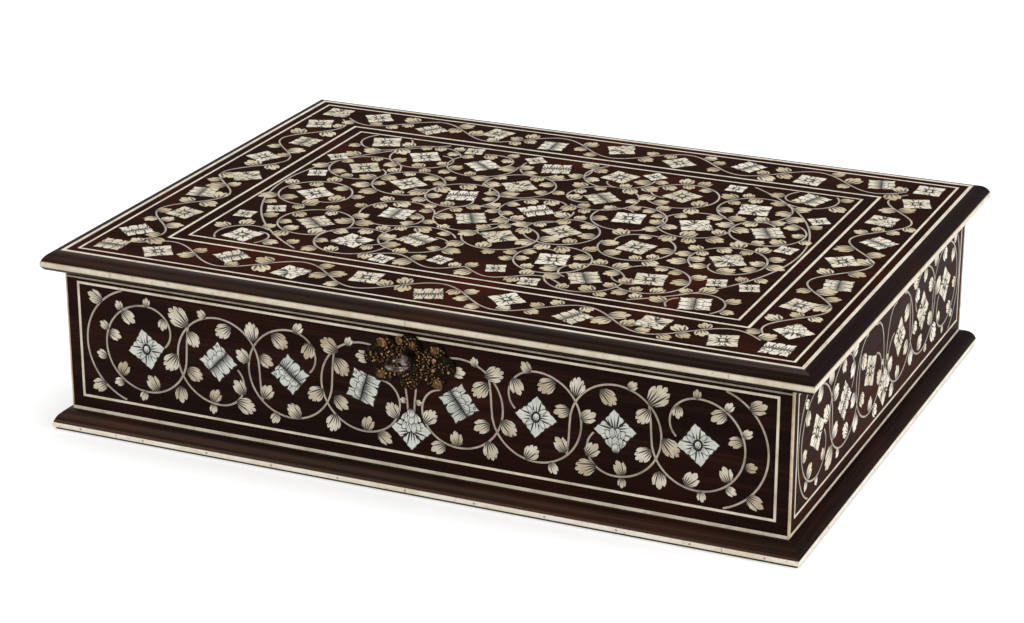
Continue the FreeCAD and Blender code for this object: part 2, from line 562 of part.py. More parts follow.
# The border's flowers sit by turns outside and inside a waving stem, with a square one at each corner
border_pitch_x = 43
border_pitch_y = 38.5
border_sway = 4.9
border_x = number("%s / 2 - lid_border_line_inset - lid_border_line_width" % panel_x) / 2
border_x += number("lid_frame_length") / 4
border_y = number("%s / 2 - lid_border_line_inset - lid_border_line_width" % panel_y) / 2
border_y += number("lid_frame_depth") / 4
border_spots = []
for sign in (-1, 1):
    for step in range(-4, 5):
        sway = border_sway if step % 2 == 0 else -border_sway
        border_spots.append((step * border_pitch_x, sign * (border_y + sway), 25 + 20 * step, large * 0.92, 2))
    for step in range(-3, 4):
        sway = border_sway if step % 2 else -border_sway
        border_spots.append((sign * (border_x + sway), step * border_pitch_y, 35 + 25 * step, large * 0.92, 2))
    for other in (-1, 1):
        border_spots.append((sign * (border_x + border_sway), other * (border_y + border_sway), 0, large * 0.92, 2))
field_inlay = node("lid_field_flowers", flowers("lid_field_flowers", field_spots, False))
border_inlay = node("lid_border_flowers", flowers("lid_border_flowers", border_spots, False))
flower_beds = gather("lid_flower_beds", [field_inlay, border_inlay])
node("lid_veneer", carve(lid_sheet, *line_solids, flower_beds))

doc.recompute()
for item in doc.Objects:
    if "Invalid" in item.State or "Error" in item.State:
        raise RuntimeError("%s has state %s" % (item.Label, item.State))
os.makedirs("parts", exist_ok=True)
for shown in NODES:
    if shown.Shape.isNull() or not shown.Shape.isValid():
        raise RuntimeError("%s has no valid shape" % shown.Label)
    shown.Shape.exportStep("parts/%s.step" % shown.Label)
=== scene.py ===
import math
import random

import bmesh
import bpy
from mathutils import Matrix, Vector


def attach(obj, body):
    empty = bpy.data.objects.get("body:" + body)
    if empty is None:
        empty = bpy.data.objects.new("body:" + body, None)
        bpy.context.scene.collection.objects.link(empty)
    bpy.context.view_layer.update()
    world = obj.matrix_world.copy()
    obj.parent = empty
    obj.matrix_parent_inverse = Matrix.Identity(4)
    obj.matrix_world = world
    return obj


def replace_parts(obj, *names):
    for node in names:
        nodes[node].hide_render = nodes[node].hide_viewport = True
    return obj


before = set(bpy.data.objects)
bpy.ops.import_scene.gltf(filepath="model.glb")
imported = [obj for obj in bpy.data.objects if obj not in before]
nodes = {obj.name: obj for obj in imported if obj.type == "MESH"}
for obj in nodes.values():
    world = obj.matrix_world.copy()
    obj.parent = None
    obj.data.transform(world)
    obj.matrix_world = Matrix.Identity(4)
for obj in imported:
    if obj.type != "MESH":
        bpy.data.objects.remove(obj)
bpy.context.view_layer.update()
scene = bpy.context.scene
scene.view_settings.view_transform = "Standard"


# Colours and nodes

def linear(code):
    """An sRGB hex colour as linear red, green, blue and alpha."""
    parts = [int(code[i:i + 2], 16) / 255 for i in (1, 3, 5)]
    return [c / 12.92 if c <= 0.04045 else ((c + 0.055) / 1.055) ** 2.4 for c in parts] + [1]


def add(tree, kind, links=None, stops=None, **settings):
    """A node with its settings, its inputs set or linked, and a ramp's colour stops."""
    made = tree.nodes.new("ShaderNode" + kind)
    for name, value in settings.items():
        setattr(made, name, value)
    for socket, value in (links or {}).items():
        if isinstance(value, bpy.types.NodeSocket):
            tree.links.new(value, made.inputs[socket])
        else:
            made.inputs[socket].default_value = value
    if stops:
        elements = made.color_ramp.elements
        while len(elements) < len(stops):
            elements.new(0.5)
        for element, (place, code) in zip(elements, stops):
            element.position = place
            element.color = linear(code)
    return made


def blank(name):
    """An empty material, its node tree, and Object coordinates in metres."""
    material = bpy.data.materials.new(name)
    material.use_nodes = True
    tree = material.node_tree
    tree.nodes.clear()
    place = add(tree, "TexCoord").outputs["Object"]
    return material, tree, place


def close(tree, shader):
    """Links a shader to a new material output."""
    add(tree, "OutputMaterial", {"Surface": shader.outputs[0]})


def streaked(grain, width, length):
    """Texture scales for streaks of a width and a length in metres that run along X or Y."""
    fine, long = 1 / width, 1 / length
    return (long, fine, fine) if grain == "x" else (fine, long, fine)


def rosewood(name, grain, dark, middle, pale, red, specular, rough):
    """Rosewood, sawn, scraped and waxed: nearly black, with fine long streaks and faint red patches."""
    material, tree, place = blank(name)
    # Fine streaks, bands seven times as large, and patches of 70 mm
    stretch = streaked(grain, 0.0011, 0.055)
    lined = add(tree, "Mapping", {"Vector": place, "Scale": stretch})
    streaks = add(tree, "TexNoise", {"Vector": lined.outputs[0], "Scale": 1, "Detail": 4, "Roughness": 0.6})
    wide = add(tree, "Mapping", {"Vector": place, "Scale": [s / 7 for s in stretch]})
    bands = add(tree, "TexNoise", {"Vector": wide.outputs[0], "Scale": 1, "Detail": 3, "Distortion": 0.6})
    both = add(tree, "Math", {0: streaks.outputs[0], 1: bands.outputs[0]}, operation="MULTIPLY")
    wood = add(tree, "ValToRGB", {"Fac": both.outputs[0]},
               stops=((0.1, dark), (0.25, middle), (0.45, pale)))
    patches = add(tree, "TexNoise", {"Vector": place, "Scale": 1 / 0.07, "Detail": 2})
    worn = add(tree, "MapRange", {"Value": patches.outputs[0], "From Min": 0.5, "From Max": 0.72,
                                  "To Max": red})
    colour = add(tree, "Mix", {"Factor": worn.outputs[0], 6: wood.outputs[0], 7: linear("#5c2313")},
                 data_type="RGBA")
    polish = add(tree, "MapRange", {"Value": bands.outputs[0], "From Min": 0.3, "From Max": 0.7,
                                    "To Min": rough - 0.08, "To Max": rough + 0.1})
    relief = add(tree, "Bump", {"Height": streaks.outputs[0], "Strength": 0.25, "Distance": 0.00006})
    close(tree, add(tree, "BsdfPrincipled", {
        "Base Color": colour.outputs[2], "Roughness": polish.outputs[0], "Normal": relief.outputs[0],
        "Specular IOR Level": specular, "Specular Tint": linear("#d0a890")}))
    return material


# Metres: the Y past which a strip is on the front or back, and the middle heights of base and lid strips
WALL_END = 0.1645
BASE_STRIP_LEVEL = 0.0029
LID_STRIP_LEVEL = 0.101
# Half the spacing of the joints and of the pins along a strip
HALF_JOINT = 0.093
HALF_PINS = 0.021


def strip_bone(name, low, high, stain, edging=False):
    """Bone strips, scraped flush: cream with brown pores. An edging has joints and pins too, and grime with
    painted shade along its edges.
    """
    material, tree, place = blank(name)
    cloud = add(tree, "TexNoise", {"Vector": place, "Scale": 1 / 0.014, "Detail": 5, "Roughness": 0.65})
    cream = add(tree, "ValToRGB", {"Fac": cloud.outputs[0]}, stops=((0.3, low), (0.6, high)))
    pores = add(tree, "TexNoise", {"Vector": place, "Scale": 1 / 0.0032, "Detail": 3})
    specks = add(tree, "MapRange", {"Value": pores.outputs[0], "From Min": 0.6, "From Max": 0.75,
                                    "To Max": 0.55})
    colour = add(tree, "Mix", {"Factor": specks.outputs[0], 6: cream.outputs[0], 7: linear(stain)},
                 data_type="RGBA")
    if edging:
        # The run is along X on the front and back, and along Y on the sides
        axes = add(tree, "SeparateXYZ", {0: place})
        far = add(tree, "Math", {0: axes.outputs["Y"]}, operation="ABSOLUTE")
        front = add(tree, "Math", {0: far.outputs[0], 1: WALL_END}, operation="GREATER_THAN")
        run = add(tree, "Mix", {"Factor": front.outputs[0], 2: axes.outputs["Y"], 3: axes.outputs["X"]},
                  data_type="FLOAT").outputs[0]
        near = add(tree, "Math", {0: run, 1: HALF_JOINT}, operation="PINGPONG")
        seam = add(tree, "MapRange", {"Value": near.outputs[0], "From Min": 0.0001, "From Max": 0.0006,
                                      "To Min": 0.5, "To Max": 0})
        # Pin heads along the middle of the base's strips, and a dark band along the edges of base and lid
        # strips: grime in the joints, and painted shade on their rounded edges
        from_middle = []
        for level in (BASE_STRIP_LEVEL, LID_STRIP_LEVEL):
            above = add(tree, "Math", {0: axes.outputs["Z"], 1: level}, operation="SUBTRACT")
            from_middle.append(add(tree, "Math", {0: above.outputs[0]}, operation="ABSOLUTE").outputs[0])
        nearest = add(tree, "Math", {0: from_middle[0], 1: from_middle[1]}, operation="MINIMUM")
        pitch = add(tree, "Math", {0: run, 1: HALF_PINS}, operation="PINGPONG")
        offset = add(tree, "CombineXYZ", {0: from_middle[0], 1: pitch.outputs[0]})
        apart = add(tree, "VectorMath", {0: offset.outputs[0]}, operation="LENGTH")
        pins = add(tree, "MapRange", {"Value": apart.outputs["Value"], "From Min": 0.0004,
                                      "From Max": 0.0009, "To Min": 0.7, "To Max": 0})
        # Painted shade on the strips' rounded edges, with grime in their joints
        edge_grime_and_shade = add(tree, "MapRange", {"Value": nearest.outputs[0], "From Min": 0.0011, "From Max": 0.0018,
                                      "To Max": 0.8})
        marks = add(tree, "Math", {0: seam.outputs[0], 1: pins.outputs[0]}, operation="MAXIMUM")
        marks = add(tree, "Math", {0: marks.outputs[0], 1: edge_grime_and_shade.outputs[0]}, operation="MAXIMUM")
        colour = add(tree, "Mix", {"Factor": marks.outputs[0], 6: colour.outputs[2], 7: linear("#5a3f2a")},
                     data_type="RGBA")
    polish = add(tree, "MapRange", {"Value": pores.outputs[0], "To Min": 0.3, "To Max": 0.5})
    relief = add(tree, "Bump", {"Height": pores.outputs[0], "Strength": 0.3, "Distance": 0.00005})
    close(tree, add(tree, "BsdfPrincipled", {
        "Base Color": colour.outputs[2], "Roughness": polish.outputs[0], "Normal": relief.outputs[0],
        "Specular IOR Level": 0.25, "IOR": 1.54}))
    return material


def engraved_bone(name, low, high, ink, strength, reach, strokes):
    """Bone cut to petals and engraved: pale, with inked strokes that taper off from each petal's root.

    Reach is a stroke's share of the petal's length, and strokes sets how close together they stand.
    """
    material, tree, place = blank(name)
    tone = add(tree, "Attribute", attribute_name="tone").outputs["Fac"]
    cloud = add(tree, "TexNoise", {"Vector": place, "Scale": 1 / 0.006, "Detail": 4})
    shade = add(tree, "Math", {0: cloud.outputs[0], 1: tone}, operation="ADD")
    pale = add(tree, "ValToRGB", {"Fac": shade.outputs[0]}, stops=((0.25, low), (0.75, high)))
    petal = add(tree, "SeparateXYZ", {0: add(tree, "UVMap", uv_map="petal").outputs[0]})
    along, across = petal.outputs[0], petal.outputs[1]
    # Strokes fan out from behind the root, and the outer ones are shorter
    spread = add(tree, "Math", {0: along, 1: 0.3}, operation="ADD")
    fan = add(tree, "Math", {0: across, 1: spread.outputs[0]}, operation="DIVIDE")
    rank = add(tree, "Math", {0: fan.outputs[0], 1: strokes, 2: 20}, operation="MULTIPLY_ADD")
    stroke = add(tree, "Math", {0: rank.outputs[0], 1: 0.5}, operation="PINGPONG")
    number = add(tree, "Math", {0: rank.outputs[0]}, operation="ROUND")
    chance = add(tree, "TexWhiteNoise", {"W": number.outputs[0]}, noise_dimensions="1D")
    long = add(tree, "MapRange", {"Value": chance.outputs[0], "To Min": 0.7 * reach, "To Max": 1.3 * reach})
    aside = add(tree, "Math", {0: fan.outputs[0]}, operation="ABSOLUTE")
    shorter = add(tree, "MapRange", {"Value": aside.outputs[0], "From Max": 0.6,
                                     "To Min": 1.1, "To Max": 0.72})
    end = add(tree, "Math", {0: long.outputs[0], 1: shorter.outputs[0]}, operation="MULTIPLY")
    share = add(tree, "Math", {0: along, 1: end.outputs[0]}, operation="DIVIDE")
    width = add(tree, "MapRange", {"Value": share.outputs[0], "From Min": 0.14,
                                   "To Min": 0.5, "To Max": 0.02})
    inside = add(tree, "Math", {0: width.outputs[0], 1: stroke.outputs[0]}, operation="SUBTRACT")
    inked = add(tree, "MapRange", {"Value": inside.outputs[0], "From Min": -0.04, "From Max": 0.1,
                                   "To Max": strength})
    colour = add(tree, "Mix", {"Factor": inked.outputs[0], 6: pale.outputs[0], 7: linear(ink)},
                 data_type="RGBA")
    polish = add(tree, "MapRange", {"Value": cloud.outputs[0], "To Min": 0.32, "To Max": 0.5})
    relief = add(tree, "Bump", {"Height": inked.outputs[0], "Strength": 0.4, "Distance": 0.00008},
                 invert=True)
    close(tree, add(tree, "BsdfPrincipled", {
        "Base Color": colour.outputs[2], "Roughness": polish.outputs[0], "Normal": relief.outputs[0],
        "Specular IOR Level": 0.25, "IOR": 1.54}))
    return material


def mastic(name):
    """Black mastic rubbed into the engraving: nearly black, dull and slightly grainy."""
    material, tree, place = blank(name)
    grains = add(tree, "TexNoise", {"Vector": place, "Scale": 1 / 0.0012, "Detail": 3})
    colour = add(tree, "ValToRGB", {"Fac": grains.outputs[0]}, stops=((0.3, "#0f0a08"), (0.7, "#211713")))
    close(tree, add(tree, "BsdfPrincipled", {
        "Base Color": colour.outputs[0], "Roughness": 0.6, "Specular IOR Level": 0.15}))
    return material


def old_metal(name, deep, mid, bright, grime, rough, scale):
    """Hand-worked metal with age: bright where it is rubbed, dull and brown where grime has settled."""
    material, tree, place = blank(name)
    cloud = add(tree, "TexNoise", {"Vector": place, "Scale": 1 / scale, "Detail": 5, "Roughness": 0.6})
    colour = add(tree, "ValToRGB", {"Fac": cloud.outputs[0]},
                 stops=((0.32, deep), (0.5, mid), (0.68, bright)))
    metal = add(tree, "MapRange", {"Value": cloud.outputs[0], "From Min": 0.3, "From Max": 0.5,
                                   "To Min": grime, "To Max": 1})
    polish = add(tree, "MapRange", {"Value": cloud.outputs[0], "From Min": 0.3, "From Max": 0.7,
                                    "To Min": rough + 0.18, "To Max": rough})
    relief = add(tree, "Bump", {"Height": cloud.outputs[0], "Strength": 0.3, "Distance": 0.0001})
    close(tree, add(tree, "BsdfPrincipled", {
        "Base Color": colour.outputs[0], "Metallic": metal.outputs[0], "Roughness": polish.outputs[0],
        "Normal": relief.outputs[0]}))
    return material


def carcass_wood(name, grain):
    """Plain softwood boards, planed by hand and darkened with age: brown with straight grain."""
    material, tree, place = blank(name)
    lined = add(tree, "Mapping", {"Vector": place, "Scale": streaked(grain, 0.004, 0.12)})
    rings = add(tree, "TexNoise", {"Vector": lined.outputs[0], "Scale": 1, "Detail": 5, "Distortion": 0.4})
    colour = add(tree, "ValToRGB", {"Fac": rings.outputs[0]},
                 stops=((0.3, "#4a2f1d"), (0.5, "#6d4a2e"), (0.7, "#8a643f")))
    relief = add(tree, "Bump", {"Height": rings.outputs[0], "Strength": 0.3, "Distance": 0.0002})
    close(tree, add(tree, "BsdfPrincipled", {
        "Base Color": colour.outputs[0], "Roughness": 0.62, "Normal": relief.outputs[0],
        "Specular IOR Level": 0.3}))
    return material


# Each wood's name, grain, three tones, share of red patches, specular level and roughness
veneer_x = rosewood("waxed_rosewood_along_x", "x", "#0f0706", "#180c0a", "#2c1712", 0.08, 0.05, 0.4)
veneer_y = rosewood("waxed_rosewood_along_y", "y", "#150a08", "#25120d", "#42231a", 0.14, 0.006, 0.4)
lid_wood = rosewood("waxed_rosewood_lid", "x", "#140806", "#1f0e09", "#361a10", 0.26, 0.002, 0.42)
moulding_x = rosewood("polished_rosewood_along_x", "x", "#110906", "#1c100b", "#341f17", 0.12, 0.2, 0.22)
lid_edge_x = rosewood("polished_rosewood_lid_edge", "x", "#0c0604", "#130a07", "#241510", 0.1, 0.17, 0.22)
moulding_y = rosewood("polished_rosewood_along_y", "y", "#0e0706", "#160c09", "#271510", 0.06, 0.008, 0.34)
board_x = carcass_wood("planed_softwood_along_x", "x")
board_y = carcass_wood("planed_softwood_along_y", "y")
# Each bone strip's name, two tones and stain, and whether it is an edging
base_edge_bone = strip_bone("scraped_bone_base_strips", "#dccfb6", "#f0e8da", "#a8845a", True)
lid_edge_bone = strip_bone("scraped_bone_lid_strips", "#bfb094", "#d6ccb8", "#94724c", True)
corner_bone = strip_bone("grimy_bone_corners", "#86745a", "#c4b092", "#5a4630")
line_bone = strip_bone("scraped_bone_lines", "#b3a690", "#d6ccba", "#8f7450")
# The wall's top lines are darker and greyer than the other lines: painted shade from the lid's overhang
top_bone_painted_shade = strip_bone("bone_top_lines_with_painted_shade", "#6e6354", "#9c8f7e", "#4c3d2e")
stem_bone = strip_bone("scraped_bone_stems", "#7c7064", "#aca091", "#6a5844")
# Each engraved bone's name, two tones and ink, and the strength, reach and closeness of its strokes
wall_flower_bone = engraved_bone(
    "engraved_bone_wall_flowers", "#afb1a7", "#d2d3cb", "#15120e", 1.0, 0.74, 4.2)
lid_flower_bone = engraved_bone(
    "engraved_bone_lid_flowers", "#b8a986", "#dcd5c4", "#120c08", 1.0, 0.8, 2.3)
# The sides' flowers and leaves are paler copies of the walls' bone: painted light, for the brighter light on
# the right side
side_flower_bone = engraved_bone(
    "engraved_bone_side_flowers_painted_paler", "#c6b692", "#e6dfd0", "#1a130d", 1.0, 0.76, 2.6)
leaf_bone = engraved_bone(
    "engraved_bone_leaves", "#a8997c", "#d4ccbb", "#1d140e", 1.0, 0.74, 4.2)
lid_leaf_bone = engraved_bone(
    "engraved_bone_lid_leaves", "#a8946c", "#cdbf9f", "#26190f", 1.0, 0.78, 2.4)
side_leaf_bone = engraved_bone(
    "engraved_bone_side_leaves_painted_paler", "#cdbfa2", "#ebe4d6", "#1d140e", 0.95, 0.72, 3.2)
black_mastic = mastic("black_mastic")
# Each metal's name, three tones, least share of bare metal, roughness and the size of its stains
# The plate's copper is nearly black: patina, and painted shade between the grapes and beside the key's bow
gilt_copper = old_metal("gilt_copper", "#070403", "#100905", "#2c1c0e", 0.4, 0.42, 0.0022)
gilt_beads = old_metal("rubbed_gilt_beads", "#1a100a", "#452f1d", "#b6946c", 0.7, 0.2, 0.0016)
gilt_leaf = old_metal("worn_gilt_leaves", "#24170d", "#553c23", "#94764c", 0.6, 0.34, 0.0018)
pin_copper = old_metal("rubbed_copper_pins", "#5a4032", "#8c6c58", "#b49684", 0.6, 0.3, 0.002)
key_iron = old_metal("rubbed_iron", "#2a2422", "#514844", "#a39a94", 0.8, 0.18, 0.004)
lock_iron = old_metal("dull_iron", "#332d2a", "#56504c", "#7a736e", 0.7, 0.45, 0.005)
hinge_brass = old_metal("old_brass", "#3d2c13", "#6c5226", "#967a40", 0.8, 0.38, 0.004)


def dress(material, *names):
    """Gives CAD nodes their finish."""
    for name in names:
        slots = nodes[name].data.materials
        slots.clear()
        slots.append(material)


ALONG_X = (veneer_x, board_x, moulding_x, lid_edge_x)
ALONG_Y = (veneer_y, board_y, moulding_y, moulding_y)
WOODS = {"front": ALONG_X, "back": ALONG_X, "left": ALONG_Y, "right": ALONG_Y}
for side, (veneer, board, base_moulding, lid_moulding) in WOODS.items():
    dress(veneer, side + "_veneer")
    dress(board, side + "_board")
    dress(base_moulding, "base_moulding_" + side)
    dress(lid_moulding, "lid_moulding_" + side)
    dress(line_bone, side + "_panel_line")
dress(lid_wood, "lid_veneer")
dress(board_x, "lid_board", "bottom_board")
dress(veneer_x, "base_plate")
dress(base_edge_bone, "base_strips")
dress(lid_edge_bone, "lid_strips")
dress(corner_bone, "corner_fillets")
dress(top_bone_painted_shade, "wall_top_lines")
dress(line_bone, "wall_foot_lines", "lid_edge_line", "lid_border_line", "lid_frame_outer_line",
      "lid_frame_inner_line")
dress(gilt_copper, "escutcheon", "escutcheon_pins")
dress(lock_iron, "lock_plate", "lock_case", "lock_nails", "bolt_guide", "bolt_spring", "lock_bolt",
      "lid_staple", "staple_nails")
dress(key_iron, "key")
dress(hinge_brass, "hinge_lower_leaves", "hinge_pins", "hinge_lower_nails", "hinge_upper_leaves",
      "hinge_upper_nails")


# Templates of the inlay, drawn in millimetres

def start(primitive, name, **options):
    """A new primitive, alone in the selection and open in edit mode."""
    bpy.ops.object.select_all(action="DESELECT")
    primitive(**options)
    made = bpy.context.object
    made.name = name
    bpy.ops.object.mode_set(mode="EDIT")
    bpy.ops.mesh.select_mode(type="FACE")
    return made


def heading(angle):
    """A unit vector at an angle in degrees."""
    return Vector((math.cos(math.radians(angle)), math.sin(math.radians(angle)), 0))


# Outlines of unit length and width, from the root at the origin to the tip along X
OVAL = [(0.5 + 0.5 * heading(45 * step).x, 0.5 * heading(45 * step).y) for step in range(8)]
SCALE = ((0, -0.3), (0.35, -0.5), (0.72, -0.45), (0.94, -0.22), (1, 0), (0.93, 0.22), (0.74, 0.45),
         (0.35, 0.5), (0, 0.3))
POINTED = ((0, -0.25), (0.4, -0.5), (0.74, -0.38), (1, 0), (0.72, 0.4), (0.42, 0.5), (0, 0.25))
KITE = ((0.03, -0.05), (0.29, -0.3), (0.44, -0.47), (0.51, -0.49), (0.61, -0.43), (0.66, -0.31),
        (0.79, -0.25), (0.87, -0.11), (1, 0), (0.89, 0.12), (0.77, 0.26), (0.67, 0.31), (0.6, 0.44),
        (0.5, 0.5), (0.44, 0.47), (0.29, 0.3), (0.03, 0.05))
THREE_LOBES = ((0, -0.07), (0.08, -0.2), (0.2, -0.42), (0.4, -0.5), (0.62, -0.47), (0.8, -0.42),
               (0.7, -0.22), (0.87, -0.18), (1, 0.02), (0.88, 0.18), (0.72, 0.2), (0.79, 0.38),
               (0.58, 0.48), (0.38, 0.48), (0.18, 0.4), (0.07, 0.19), (0, 0.07))
FIVE_LOBES = ((0, -0.06), (0.08, -0.17), (0.2, -0.38), (0.4, -0.49), (0.6, -0.5), (0.72, -0.42),
              (0.62, -0.3), (0.8, -0.35), (0.91, -0.25), (0.8, -0.1), (0.93, -0.1), (1, 0.03),
              (0.92, 0.13), (0.8, 0.12), (0.9, 0.26), (0.77, 0.37), (0.62, 0.31), (0.69, 0.44),
              (0.57, 0.5), (0.38, 0.48), (0.19, 0.37), (0.08, 0.16), (0, 0.06))


def petal(outline, length, width, root, turn, inked=False):
    """A petal's points, way of growth and whether it is all ink, from an outline laid at its root."""
    along, across = heading(turn) * length, heading(turn + 90) * width
    points = [(root[0] + along.x * x + across.x * y, root[1] + along.y * x + across.y * y)
              for x, y in outline]
    return points, turn, inked


def mirrored(points, turn, inked):
    """The same petal on the other side of the flower."""
    return [(-x, y) for x, y in points], 180 - turn, inked


# How deep bone is sunk, how far a leaf and a flower's lowest petal stand out, and each next petal more
SUNK = 0.15
LEAF_RISE = 0.09
PETAL_RISE = 0.04
PETAL_STEP = 0.012
# The mastic bed: how much narrower than the flower, how deep, and how far its top lies under the surface
BED_GAP = 0.1
BED_DEPTH = 1.1
BED_DROP = 0.05


def blade(name, points, turn, inked, size, height, bone, rim):
    """One petal or leaf in bone, with a map for its strokes and an inked rim if it has one."""
    made = start(bpy.ops.mesh.primitive_circle_add, name, vertices=len(points), radius=1, fill_type="NGON")
    shape = bmesh.from_edit_mesh(made.data)
    for corner, (across, up) in zip(shape.verts, points):
        corner.co = (across * size, up * size, -SUNK)
    bmesh.update_edit_mesh(made.data)
    bpy.ops.mesh.select_all(action="SELECT")
    bpy.ops.mesh.extrude_region_move(TRANSFORM_OT_translate={"value": (0, 0, SUNK + height)})
    if rim:
        bpy.ops.mesh.inset(thickness=rim)
        shape = bmesh.from_edit_mesh(made.data)
        for face in shape.faces:
            face.material_index = 0 if face.select and not inked else 1
        bmesh.update_edit_mesh(made.data)
    bpy.ops.mesh.select_all(action="SELECT")
    bpy.ops.mesh.normals_make_consistent(inside=False)
    bpy.ops.object.mode_set(mode="OBJECT")
    mesh = made.data
    mesh.materials.append(bone)
    mesh.materials.append(black_mastic)
    mesh.attributes.new("tone", "FLOAT", "POINT")
    strokes = mesh.uv_layers.new(name="petal").data
    along = [corner.co.dot(heading(turn)) for corner in mesh.vertices]
    across = [corner.co.dot(heading(turn + 90)) for corner in mesh.vertices]
    low, left = min(along), min(across)
    for loop in mesh.loops:
        strokes[loop.index].uv = ((along[loop.vertex_index] - low) / (max(along) - low),
                                  (across[loop.vertex_index] - left) / (max(across) - left) - 0.5)
    return made


# Petals of the three kinds of flower from the lowest to the topmost, in half sides of the flower's square
ROSETTE = ([petal(KITE, 1.4, 1.22, (0, 0), 45 + 90 * step) for step in range(4)]
           + [petal(POINTED, 0.96, 0.4, (0, 0), 90 * step) for step in range(4)]
           + [petal(OVAL, 0.8, 0.64, (-0.35, -0.2), 30, True), petal(OVAL, 0.6, 0.46, (-0.26, -0.15), 30)])
UPPER_CORNER = ([(-0.97, 0), (-1, 0.45), (-0.92, 0.6), (-1, 1), (-0.62, 0.91), (-0.42, 0.97), (-0.33, 0.6),
                 (-0.4, 0)], 100, False)
LOWER_CORNER = ([(-0.97, 0), (-1, -0.5), (-0.91, -0.66), (-1, -1), (-0.6, -0.9), (-0.38, -0.97),
                 (-0.3, -0.6), (-0.36, 0)], 260, False)
SIDE_SCALE = ([(-0.8, 0), (-0.78, 0.32), (-0.52, 0.54), (-0.24, 0.46), (-0.1, 0)], 100, False)
UPPER_MIDDLE = ([(-0.37, 0), (-0.37, 0.7), (-0.25, 0.95), (0, 1), (0.25, 0.95), (0.37, 0.7),
                 (0.37, 0)], 90, False)
LOWER_MIDDLE = ([(-0.34, 0), (-0.35, -0.66), (-0.2, -0.93), (0.05, -0.99), (0.27, -0.92), (0.36, -0.62),
                 (0.33, 0)], 270, False)
FACING = [UPPER_CORNER, mirrored(*UPPER_CORNER), LOWER_CORNER, mirrored(*LOWER_CORNER),
          UPPER_MIDDLE, LOWER_MIDDLE, SIDE_SCALE, mirrored(*SIDE_SCALE),
          petal(SCALE, 0.52, 0.54, (0, 0), 90), petal(OVAL, 0.2, 0.2, (0.62, 0.76), 0)]
LOTUS = ([petal(KITE, 1.4, 1.22, (0, 0), turn) for turn in (45, -45, 135)]
         + [petal(SCALE, 0.85, 0.44, (-0.78, -0.78), turn) for turn in (-9, 99)]
         + [petal(SCALE, 0.95, 0.52, (-0.5, -0.5), turn) for turn in (4, 86, 32, 58)]
         + [petal(SCALE, 0.8, 0.5, (-0.8, -0.8), turn) for turn in (14, 76, 45)]
         + [petal(SCALE, 0.62, 0.56, (-1, -1), 45)])
KINDS = (ROSETTE, FACING, LOTUS)


def flower(name, side, petals, bone, rim):
    """A flower of overlapping petals over the mastic bed that fills its square pocket."""
    bed = start(bpy.ops.mesh.primitive_plane_add, "bed", size=side - BED_GAP, location=(0, 0, -BED_DEPTH))
    bpy.ops.mesh.select_all(action="SELECT")
    bpy.ops.mesh.extrude_region_move(TRANSFORM_OT_translate={"value": (0, 0, BED_DEPTH - BED_DROP)})
    bpy.ops.mesh.select_all(action="SELECT")
    bpy.ops.mesh.normals_make_consistent(inside=False)
    bpy.ops.object.mode_set(mode="OBJECT")
    bed.data.materials.append(black_mastic)
    pieces = [blade(name, *grown, side / 2, PETAL_RISE + PETAL_STEP * order, bone, rim)
              for order, grown in enumerate(petals)]
    bpy.ops.object.select_all(action="DESELECT")
    for piece in pieces + [bed]:
        piece.select_set(True)
    bpy.context.view_layer.objects.active = pieces[0]
    bpy.ops.object.join()
    return pieces[0]


def settle(template, spots, panel):
    """Copies of a template at (across, up, turn, scale, tone) on a panel, each with its own mesh."""
    copies = []
    for across, up, turn, scale, tone in spots:
        mesh = template.data.copy()
        spin = Matrix.Rotation(math.radians(turn), 4, "Z")
        stretch = Matrix.Diagonal((scale, scale, 1, 1))
        mesh.transform(panel @ Matrix.Translation((across, up, 0)) @ spin @ stretch)
        mesh.attributes["tone"].data.foreach_set("value", [tone] * len(mesh.vertices))
        copy = bpy.data.objects.new(template.name, mesh)
        scene.collection.objects.link(copy)
        copies.append(copy)
    return copies


def gather(name, copies, body):
    """One piece from many copies, riding on its body."""
    bpy.ops.object.select_all(action="DESELECT")
    for copy in copies:
        copy.select_set(True)
    piece = copies[0]
    bpy.context.view_layer.objects.active = piece
    bpy.ops.object.join()
    piece.name = name
    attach(piece, body)
    return piece


def swap_material(piece, old, new):
    """Another material on the faces of a piece that had the old one, such as a real finish, or a copy of the
    bone painted paler for how a wall is lit.
    """
    for held in piece.material_slots:
        if held.material == old:
            held.material = new


# A stem's section, in stem widths across and millimetres up
STEM_WIDTH = 1.15
STEM_SECTION = ((-0.5, -0.1), (0.5, -0.1), (0.5, 0.03), (0.22, 0.06), (-0.22, 0.06), (-0.5, 0.03))


